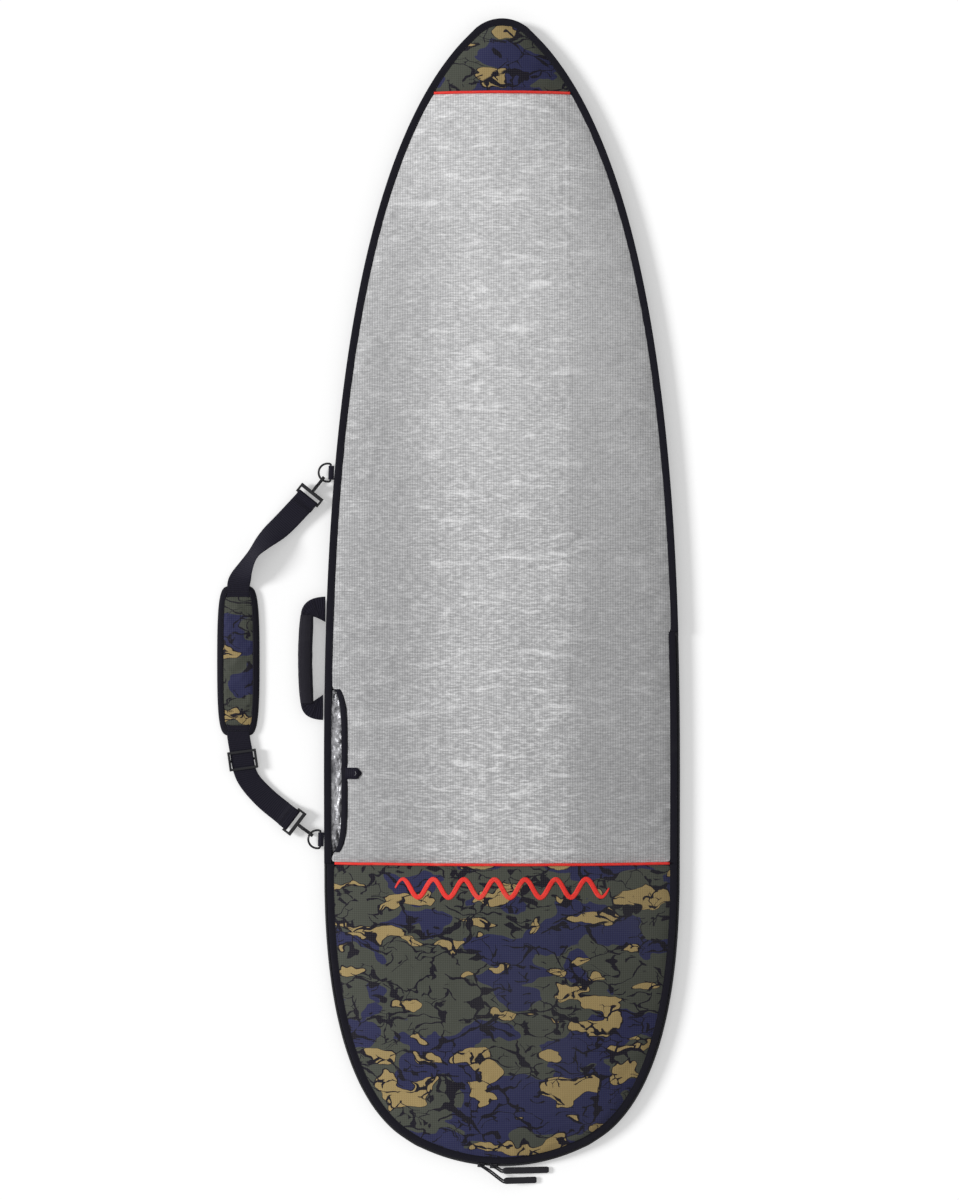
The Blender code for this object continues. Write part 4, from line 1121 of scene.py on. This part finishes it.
def make_pocket():
    rows = spaced(-0.4290, -0.1630, 0.0020)

    def lining_left(y):
        return -half_width(y, 0.0126)

    def lining_right(y):
        return max(left_rim(y) + 0.0030, lining_left(y) + 0.0015)

    def lining_height(x, y):
        fold = abs(rough(x * 1.5, y, 0, 60, 1.0)) + 0.5 * abs(rough(x, y, 0, 150, 6.0))
        dip = 0.0072 if x > lining_left(y) + 0.0006 else 0.0035
        return deck_height(left_rim(y), y) - dip + 0.0050 * fold

    lining = grid_skin(
        "pocket_inside", rows, 16, lining_left, lining_right, lining_height, "silver_lining"
    )
    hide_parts("pocket_lining")
    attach(lining, "shell")
    sections = []
    for y in spaced(POCKET[0] + 0.0015, POCKET[1] - 0.0015, 0.0020):
        outer = left_rim(y) - 0.0024 * pocket_depth(y) / POCKET_DEEP + 0.0004 * rough(0, y, 0, 70, 2.0)
        inner = outer + 0.0106 + 0.0005 * rough(0, y, 0, 50, 12.0)
        section = []
        low_here = 0.45 if abs(y - POCKET_TAB_Y) < 0.0140 else 1.0
        for share, lift in POCKET_SECTION:
            x = outer + (inner - outer) * share
            section.append((x, y, deck_height(max(x, left_rim(y)), y) + lift * low_here))
        section.append((inner, y, deck_height(inner, y) - 0.0002))
        sections.append(section)
    binding = swept("pocket_edge", sections, "binding")
    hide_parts("pocket_binding")
    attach(binding, "shell")
    seam = []
    for y in spaced(POCKET[0] + 0.006, POCKET[1] - 0.006, 0.002):
        x = left_rim(y) + 0.0062
        if abs(y - POCKET_TAB_Y) > 0.0150:
            seam.append((x, y, deck_height(x, y) + 0.0029))
    behind = [p for p in seam if p[1] < POCKET_TAB_Y]
    ahead = [p for p in seam if p[1] > POCKET_TAB_Y]
    for number, run in enumerate((behind, ahead)):
        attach(stitches(f"pocket_stitches_{number}", run, pitch=0.0034, length=0.0024), "shell")
    low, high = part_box("pocket_tab")
    middle = (low.y + high.y) / 2
    steps = np.linspace(0, 1, 24)
    sections = []
    for share in steps:
        x = low.x + 0.0005 + (high.x - low.x - 0.001) * share
        wide = 0.0092 * min(1, 0.12 + (1 - share) * 3.1)
        z = low.z + 0.0022 + (high.z - low.z - 0.0028) * share + 0.0008 * sin(pi * share)
        thick = 0.0011
        sections.append([(x, middle + wide * u, z + thick * v) for u, v in TAB_SECTION])
    tab = swept("pocket_pull_tab", sections, "webbing")
    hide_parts("pocket_tab")
    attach(tab, "pocket_pull")
    x = low.x + (high.x - low.x) * 0.62
    z = low.z + 0.0022 + (high.z - low.z - 0.0028) * 0.62 + 0.0019
    mark = [(x + d, middle + 0.004 * s, z + 0.0001) for s, d in ((-1, -0.001), (0, 0.001), (1, -0.001))]
    thread = stitches("pocket_tab_stitch", mark, "silver_lining", pitch=0.002, length=0.0018)
    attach(thread, "pocket_pull")


# ---- zip pulls -----------------------------------------------------------------------

PULL_ENDS = (((0.0030, -0.9790), (0.0575, -0.9790)), ((0.0010, -0.9622), (0.0780, -0.9622)))
PULL_HEIGHTS = (0.0150, 0.0042)  # of its near and far end
PULL_WIDE = 0.0055  # half of its width
PULL_THICK = 0.0018  # half of its thickness
PULL_CORD = 0.0015
EYE_HEIGHT = 0.0183


def make_pulls():
    for number, (near, far) in enumerate(PULL_ENDS, 1):
        slider = copy_node(f"zip_slider_{number}", "dark_metal", 0.0005)
        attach(slider, f"slider_{number}")
        low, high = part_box(f"zip_slider_{number}")
        eye = Vector(((low.x + high.x) / 2, (low.y + high.y) / 2, EYE_HEIGHT))
        start, end = Vector((*near, 0)), Vector((*far, 0))
        start.z, end.z = PULL_HEIGHTS
        along = (end - start).normalized()
        side = along.cross(Vector((0, 0, 1))).normalized()
        up = side.cross(along)
        sections = []
        for share in np.linspace(0, 1, 26):
            at = start.lerp(end, share)
            slim = min(1, 0.55 + share * 9, 0.75 + (1 - share) * 9)
            grip = 1 - 0.10 * (abs(share - 0.5) < 0.3) * (0.5 + 0.5 * cos(share * 60))
            ring = []
            for k in range(14):
                turn = 2 * pi * k / 14
                wide, tall = squared(cos(turn), 0.5), squared(sin(turn), 0.8)
                ring.append(at + side * wide * PULL_WIDE * slim + up * tall * PULL_THICK * slim * grip)
            sections.append(ring)
        body = swept(f"pull_{number}_grip", sections, "pull_rubber")
        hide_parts(f"zip_pull_{number}")
        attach(body, f"pull_{number}")
        inside = start + along * 0.004
        rows = [inside + side * 0.0017, start + side * 0.0019 - along * 0.002]
        rows += [eye.lerp(start, 0.35) + side * 0.0019, eye + side * 0.0006 - along * 0.0022]
        rows += [eye - along * 0.0024, eye - side * 0.0006 - along * 0.0022]
        rows += [eye.lerp(start, 0.35) - side * 0.0019, start - side * 0.0019 - along * 0.002]
        rows += [inside - side * 0.0017]
        path = smoothed([tuple(r) for r in rows], 8)
        cord = swept_tube(f"pull_{number}_cord", path, PULL_CORD, "pull_rubber", sides=8)
        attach(cord, f"pull_{number}")


# ---- strap hardware ------------------------------------------------------------------


def make_hardware():
    for end in ("fore", "aft"):
        make_ring(end)
        tab = copy_node(f"ring_tab_{end}", "webbing", 0.0005)
        box_uv(tab)
        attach(tab, "shell")
        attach(copy_node(f"hook_{end}", "hook_plastic", 0.0008), f"hook_body_{end}")
        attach(copy_node(f"hook_gate_{end}", "dark_metal", 0.0004), f"gate_{end}")
        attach(copy_node(f"hook_loop_{end}", "hook_plastic", 0.0007), "strap")
    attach(copy_node("adjuster", "hook_plastic", 0.0007), "strap_adjuster")


def box_uv(obj):
    """Metres across and along as the UV map of a flat piece."""
    layer = obj.data.uv_layers.new(name="UVMap")
    for loop in obj.data.loops:
        point = obj.data.vertices[loop.vertex_index].co
        layer.data[loop.index].uv = (point.x, point.y)


def ring_line():
    """The direction of the line through both rings' bars."""
    fore, aft = (sum(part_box(f"d_ring_{end}"), Vector()) / 2 for end in ("fore", "aft"))
    return np.array((fore - aft).xy.normalized())


def make_ring(end):
    """The D-ring's wire, rounder than its CAD node: a straight bar and a half round."""
    low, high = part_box(f"d_ring_{end}")
    middle = (low + high) / 2
    wire = 0.0018
    along = ring_line()
    bar = np.array([along[1], -along[0]])
    points = node_points(f"d_ring_{end}")
    centre = points[:, :2].mean(0)
    reach = points[:, :2] @ along
    centre += along * (reach.max() + reach.min()) / 2 - along * (centre @ along)
    flat = points[:, :2] - centre
    reach = (flat @ along).max() - wire
    inner = (flat @ bar).max() - wire
    outer = (flat @ bar).min() + wire
    corner = 0.003
    path = []
    for t in np.linspace(-pi / 2, pi / 2, 28):
        path.append((outer + reach * (1 - cos(t)), sin(t) * reach))
    for t in np.linspace(0, pi / 2, 6):
        path.append((inner - corner + corner * sin(t), reach - corner + corner * cos(t)))
    for t in np.linspace(0, pi / 2, 6):
        path.append((inner - corner + corner * cos(t), -reach + corner - corner * sin(t)))
    rows = [(*(centre + a * bar + b * along), middle.z) for a, b in path]
    rows, _ = evenly(smoothed(rows, 3, closed=True), 120, closed=True)
    ring = swept_tube(f"ring_{end}_wire", rows, wire, "dark_metal", closed=True, sides=14)
    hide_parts(f"d_ring_{end}")
    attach(ring, f"ring_{end}")


# ---- shoulder strap ------------------------------------------------------------------

WEBBING = 0.0380
WEBBING_THICK = 0.0016
PAD_X = -0.4395
PAD_Y = -0.114
PAD_HALF = 0.125
PAD_WIDTH = 0.067
PAD_SWELL = 0.004  # how much wider its middle is
PAD_BAND_Y = -0.1935
PAD_FACE = (-0.2210, -0.0075)
UPPER_ROUTE = (  # x, y, z, heading and bank in degrees
    (-0.3660, 0.1120, 0.0100, 228, 8),
    (-0.3960, 0.0850, 0.0155, 225, 40),
    (-0.4140, 0.0640, 0.0180, 235, 58),
    (-0.4280, 0.0400, 0.0150, 245, 42),
    (-0.4370, 0.0200, 0.0110, 258, 10),
    (-0.4390, 0.0080, 0.0096, 266, 2),
)
LOWER_ROUTE = (
    (-0.3660, -0.3660, 0.0085, 145, 0),
    (-0.3930, -0.3440, 0.0070, 133, 0),
    (-0.4180, -0.3170, 0.0070, 112, 0),
    (-0.4290, -0.2950, 0.0086, 97, 0),
    (-0.4345, -0.2650, 0.0090, 96, 0),
)


def wrap_rows(end, angle):
    """Webbing rows round a hook's loop, from the sewn end underneath to the side that leads away."""
    low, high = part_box(f"hook_loop_{end}")
    way = np.array([cos(angle), sin(angle)])
    points = node_points(f"hook_loop_{end}")
    far = (points[:, :2] @ way).max()
    middle = (points[:, :2] @ np.array([-way[1], way[0]])).mean()
    height = (low.z + high.z) / 2
    half = (high.z - low.z) / 2 + 0.0013
    bar = 0.0040
    near = far - bar
    steps = [
        (far + 0.0140, -half),
        (far, -half),
        (near, -half),
        (near - 0.0011, -half * 0.72),
        (near - 0.0014, 0),
        (near - 0.0011, half * 0.72),
        (near, half),
        (far, half),
        (far + 0.0080, half - 0.0006),
    ]
    across = np.array([-way[1], way[0]]) * middle
    return [(*(way * a + across), height + v, angle, 0, WEBBING) for a, v in steps]


def ribbon(name, route, thickness, look, body, step=0.0020):
    """A webbing strap with rounded edges, along rows of x, y, z, heading, bank and width."""
    count = int(run_along(np.array(route)[:, :3])[-1] / step)
    rows, at = evenly(smoothed(route, 12), count)
    ways = np.gradient(rows[:, :3], axis=0)
    sections = []
    for row, way in zip(rows, ways):
        heading, bank, width = row[3:]
        level = Vector((-sin(heading), cos(heading), 0))
        across = (level * cos(bank) + Vector((0, 0, sin(bank)))) * width / 2
        out = Vector(way).cross(across).normalized() * thickness / 2
        middle = Vector(row[:3])
        section = []
        for u in (-1, -0.94, -0.8, -0.4, 0, 0.4, 0.8, 0.94):
            section.append(middle + across * u + out * (0.3 if u == -1 else 1))
        section += [middle + across * 1 + out * 0.3, middle + across - out * 0.3]
        for u in (0.94, 0.8, 0.4, 0, -0.4, -0.8, -0.94):
            section.append(middle + across * u - out)
        section.append(middle - across - out * 0.3)
        sections.append(section)
    strap = swept(name, sections, look, at=at)
    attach(strap, body)
    return strap


def route_rows(points):
    return [(x, y, z, radians(heading), radians(bank), WEBBING) for x, y, z, heading, bank in points]


def bar_tack(name, place, heading, width, rows, gap, lift, body, look="thread"):
    """Rows of close stitches across a strap."""
    across = np.array([-sin(heading), cos(heading), 0])
    along = np.array([cos(heading), sin(heading), 0])
    for number in range(rows):
        middle = np.array(place) + along * (number - (rows - 1) / 2) * gap + np.array([0, 0, lift])
        path = [middle - across * width / 2, middle + across * width / 2]
        tack = stitches(f"{name}_{number}", path, look, pitch=0.0022, length=0.0017, radius=0.0004)
        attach(tack, body)


def make_strap():
    upper_angle, lower_angle = radians(231.5), radians(142.8)
    flat = [(PAD_X, y, 0.0091, radians(270), 0, WEBBING) for y in (-0.008, -0.040, -0.080, PAD_Y)]
    upper = wrap_rows("fore", upper_angle) + route_rows(UPPER_ROUTE) + flat
    strap = ribbon("strap_upper", upper, WEBBING_THICK, "webbing", "strap")
    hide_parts("webbing_fore")
    flat = [(PAD_X, y, 0.0091, radians(90), 0, WEBBING) for y in (-0.232, -0.190, -0.150, PAD_Y)]
    lower = wrap_rows("aft", lower_angle) + route_rows(LOWER_ROUTE) + flat
    strap = ribbon("strap_lower", lower, WEBBING_THICK, "webbing", "strap")
    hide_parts("webbing_aft")
    for name, rows in (("upper", upper), ("lower", lower)):
        place = np.array(rows[8][:3]) + 0.004 * np.array([cos(rows[8][3]), sin(rows[8][3]), 0])
        bar_tack(f"tack_{name}", place, rows[8][3], 0.033, 3, 0.0028, 0.0012, "strap")


# ---- shoulder pad --------------------------------------------------------------------


def pad_outline(inset, count=120):
    reach = PAD_HALF - inset
    points = []
    for t in np.linspace(0, 2 * pi, count, endpoint=False):
        y = squared(sin(t), 0.45)
        wide = (PAD_WIDTH + PAD_SWELL * (1 - y * y)) / 2 - inset
        x = squared(cos(t), 0.30)
        points.append((PAD_X + wide * x, PAD_Y + reach * y))
    return np.array(points)


def make_pad():
    outer = np.array([(*p, 0.0) for p in pad_outline(0)])
    outer, _ = evenly(smoothed(outer, 3, closed=True), 260, closed=True)
    tangent = np.roll(outer, -1, 0) - np.roll(outer, 1, 0)
    out = np.stack([tangent[:, 1], -tangent[:, 0], tangent[:, 0] * 0], 1)
    out /= np.linalg.norm(out, axis=1)[:, None]
    profile = [(0.0117, 0.0006), (0.0006, 0.0006), (0.0, 0.0030), (0.0004, 0.0062), (0.0020, 0.0082)]
    profile += [(0.0050, 0.0096), (0.0085, 0.0100), (0.0112, 0.0094), (0.0118, 0.0080)]
    sections = []
    for point, way in zip(outer, out):
        wave = 0.0005 * rough(point[0], point[1], 0, 60, 4.0)
        sections.append([point - way * (d + (wave if d > 0.004 else 0)) + (0, 0, h) for d, h in profile])
    rim = swept("pad_rim", sections, "binding", closed=True)
    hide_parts("pad_binding", "pad_foam")
    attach(rim, "strap")
    seam = [p - way * 0.0092 + (0, 0, 0.0103) for p, way in zip(outer, out)]
    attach(stitches("pad_stitches", [*seam, seam[0]], pitch=0.0036, length=0.0026), "strap")
    back_rows = spaced(PAD_Y - 0.1155, PAD_Y + 0.1155, 0.0035)

    def back_edge(y):
        return 0.0335 + 0.002 * (1 - (abs(y - PAD_Y) / 0.125) ** 4) - 0.0105

    def back_height(x, y):
        return 0.0011 - 0.0005 * max(rough(x, y, 0, 45, 3.0), 0)

    left, right = lambda y: PAD_X - back_edge(y), lambda y: PAD_X + back_edge(y)
    back = grid_skin("pad_back", back_rows, 20, left, right, back_height, "base_cloth")
    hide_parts("pad_backing")
    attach(back, "strap")
    low, high = PAD_FACE
    rows = spaced(low, high, 0.0035)

    def edge(y):
        share = min(abs(y - PAD_Y) / 0.1165, 1)
        wide = (PAD_WIDTH + PAD_SWELL * (1 - share**4)) / 2
        return wide - 0.0108 - 0.006 * max(share - 0.86, 0) / 0.14

    def height(x, y):
        across = 1 - min(abs(x - PAD_X) / edge(y), 1) ** 4
        along = 1 - min(abs(y - PAD_Y) / 0.107, 1) ** 8
        return 0.0092 + 0.0020 * across * (0.4 + 0.6 * along)

    left, right = lambda y: PAD_X - edge(y), lambda y: PAD_X + edge(y)
    face = grid_skin("pad_face", rows, 22, left, right, height, "camouflage")
    rise = np.clip(buckle(face, 0.015, 0.5), 0, 0.0026)
    for vertex, up in zip(face.data.vertices, rise):
        x, y = vertex.co.xy
        vertex.co.z += up + 0.0005 * rough(x, y, 0, 60, 2.0) * (1 if up else 0)
        vertex.co.z -= 0.0007 if abs(y - PAD_BAND_Y) < 0.0072 and abs(x - PAD_X) < 0.022 else 0
    subdivided(face)
    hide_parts("pad_cover")
    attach(face, "strap")
    crossed = ((-0.1985, 0), (-0.1885, 0), (PAD_BAND_Y, 1), (PAD_BAND_Y, -1))
    for number, (y, lean) in enumerate(crossed):
        reach = 0.0190
        path = [(PAD_X + reach * s, y + lean * s * 0.005, 0.0116) for s in (-1, 1)]
        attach(stitches(f"pad_cross_{number}", path, pitch=0.0030, length=0.0022), "strap")
    for number, y in enumerate((low - 0.001, high + 0.0005)):
        path = [(PAD_X - 0.018, y, 0.0104), (PAD_X + 0.018, y, 0.0104)]
        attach(stitches(f"pad_end_{number}", path, pitch=0.0026, length=0.0020), "strap")


# ---- carry handle --------------------------------------------------------------------

HANDLE_Y = -0.111
GRIP = (0.147, 0.0240, 0.0140)  # length, width, height
GRIP_X = -0.3245
HANDLE_Z = 0.0145


def make_handle():
    sections = []
    for t in np.linspace(-1, 1, 90):
        y = HANDLE_Y + t * GRIP[0] / 2
        x = GRIP_X - 0.003 * (1 - t * t)
        swell = (1 - 0.10 * t**6) * (1 + 0.012 * rough(0, y, 0, 90, 3.0))
        ring = []
        for k in range(26):
            a = 2 * pi * k / 26
            wide = squared(cos(a), 0.75)
            flap = 0.0006 if 0.30 < cos(a) < 0.42 and sin(a) > 0 else 0
            lump = 1 + 0.02 * rough(cos(a) * 0.02, y, sin(a) * 0.02, 80, 5.0)
            z = HANDLE_Z + swell * GRIP[2] / 2 * sin(a) * lump - flap
            ring.append((x + swell * GRIP[1] / 2 * wide * lump, y, z))
        sections.append(ring)
    grip = swept("grip", sections, "grip_cloth")
    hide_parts("handle_grip")
    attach(grip, "handle")
    for number, (shift, height) in enumerate(((0.0070, 0.0062), (-0.0075, 0.0060))):
        path = []
        for t in np.linspace(-1, 1, 40):
            x = GRIP_X - 0.003 * (1 - t * t) + shift
            path.append((x, HANDLE_Y + t * GRIP[0] * 0.48, HANDLE_Z + height - 0.0006 * t**6))
        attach(stitches(f"grip_stitches_{number}", path, pitch=0.0036, length=0.0026), "handle")
    for end, toward in (("fore", 1), ("aft", -1)):
        make_anchor(end, toward)


def make_anchor(end, toward):
    """Webbing that fans out from the grip's end and curves to a wide seam along the bag's edge."""
    low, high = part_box(f"handle_anchor_{end}")
    edge_far = Vector((high.x - 0.0016, high.y if toward > 0 else low.y, HANDLE_Z))
    edge_near = Vector((high.x - 0.0016, low.y if toward > 0 else high.y, HANDLE_Z))
    grip_end = HANDLE_Y + toward * (GRIP[0] / 2 - 0.003)
    outer = [edge_far, Vector((GRIP_X - 0.010, edge_far.y - toward * 0.001, HANDLE_Z))]
    outer.append(Vector((GRIP_X - 0.0105, grip_end, HANDLE_Z)))
    inner = [edge_near, Vector((GRIP_X + 0.0125, edge_near.y + toward * 0.010, HANDLE_Z))]
    inner.append(Vector((GRIP_X + 0.0095, grip_end, HANDLE_Z)))

    def bent(points, t):
        a, b, c = points
        return a * (1 - t) ** 2 + b * 2 * t * (1 - t) + c * t**2

    sections = []
    for t in np.linspace(0, 1, 40):
        first, last = bent(outer, t), bent(inner, t)
        section = []
        for u in np.linspace(0, 1, 15):
            fold = 0.0011 * t * abs(sin(3 * pi * u)) - 0.0012 * (1 - t) ** 3
            section.append(first.lerp(last, u) + Vector((0, 0, 0.0013 + fold + 0.0016 * t)))
        for u in np.linspace(1, 0, 15):
            section.append(first.lerp(last, u) - Vector((0, 0, 0.0013 + 0.0012 * t)))
        sections.append(section)
    anchor = swept(f"anchor_{end}", sections, "webbing")
    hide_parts(f"handle_anchor_{end}")
    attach(anchor, "handle")
    for number, t in enumerate((0.34, 0.86, 0.94)):
        lift = Vector((0, 0, 0.0017 + 0.0030 * t))
        path = [bent(outer, t).lerp(bent(inner, t), u) + lift for u in (0.08, 0.5, 0.92)]
        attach(stitches(f"anchor_{end}_seam_{number}", path, pitch=0.0026, length=0.0020), "handle")


SCENE.view_settings.view_transform = "Standard"
make_camera()
make_lights()
make_floor()
dress_nodes()
tail_skin = make_skins()
make_tail_inner()
make_linings()
make_pipings()
make_motif(tail_skin)
make_edges()
make_pocket()
make_pulls()
make_hardware()
make_strap()
make_pad()
make_handle()
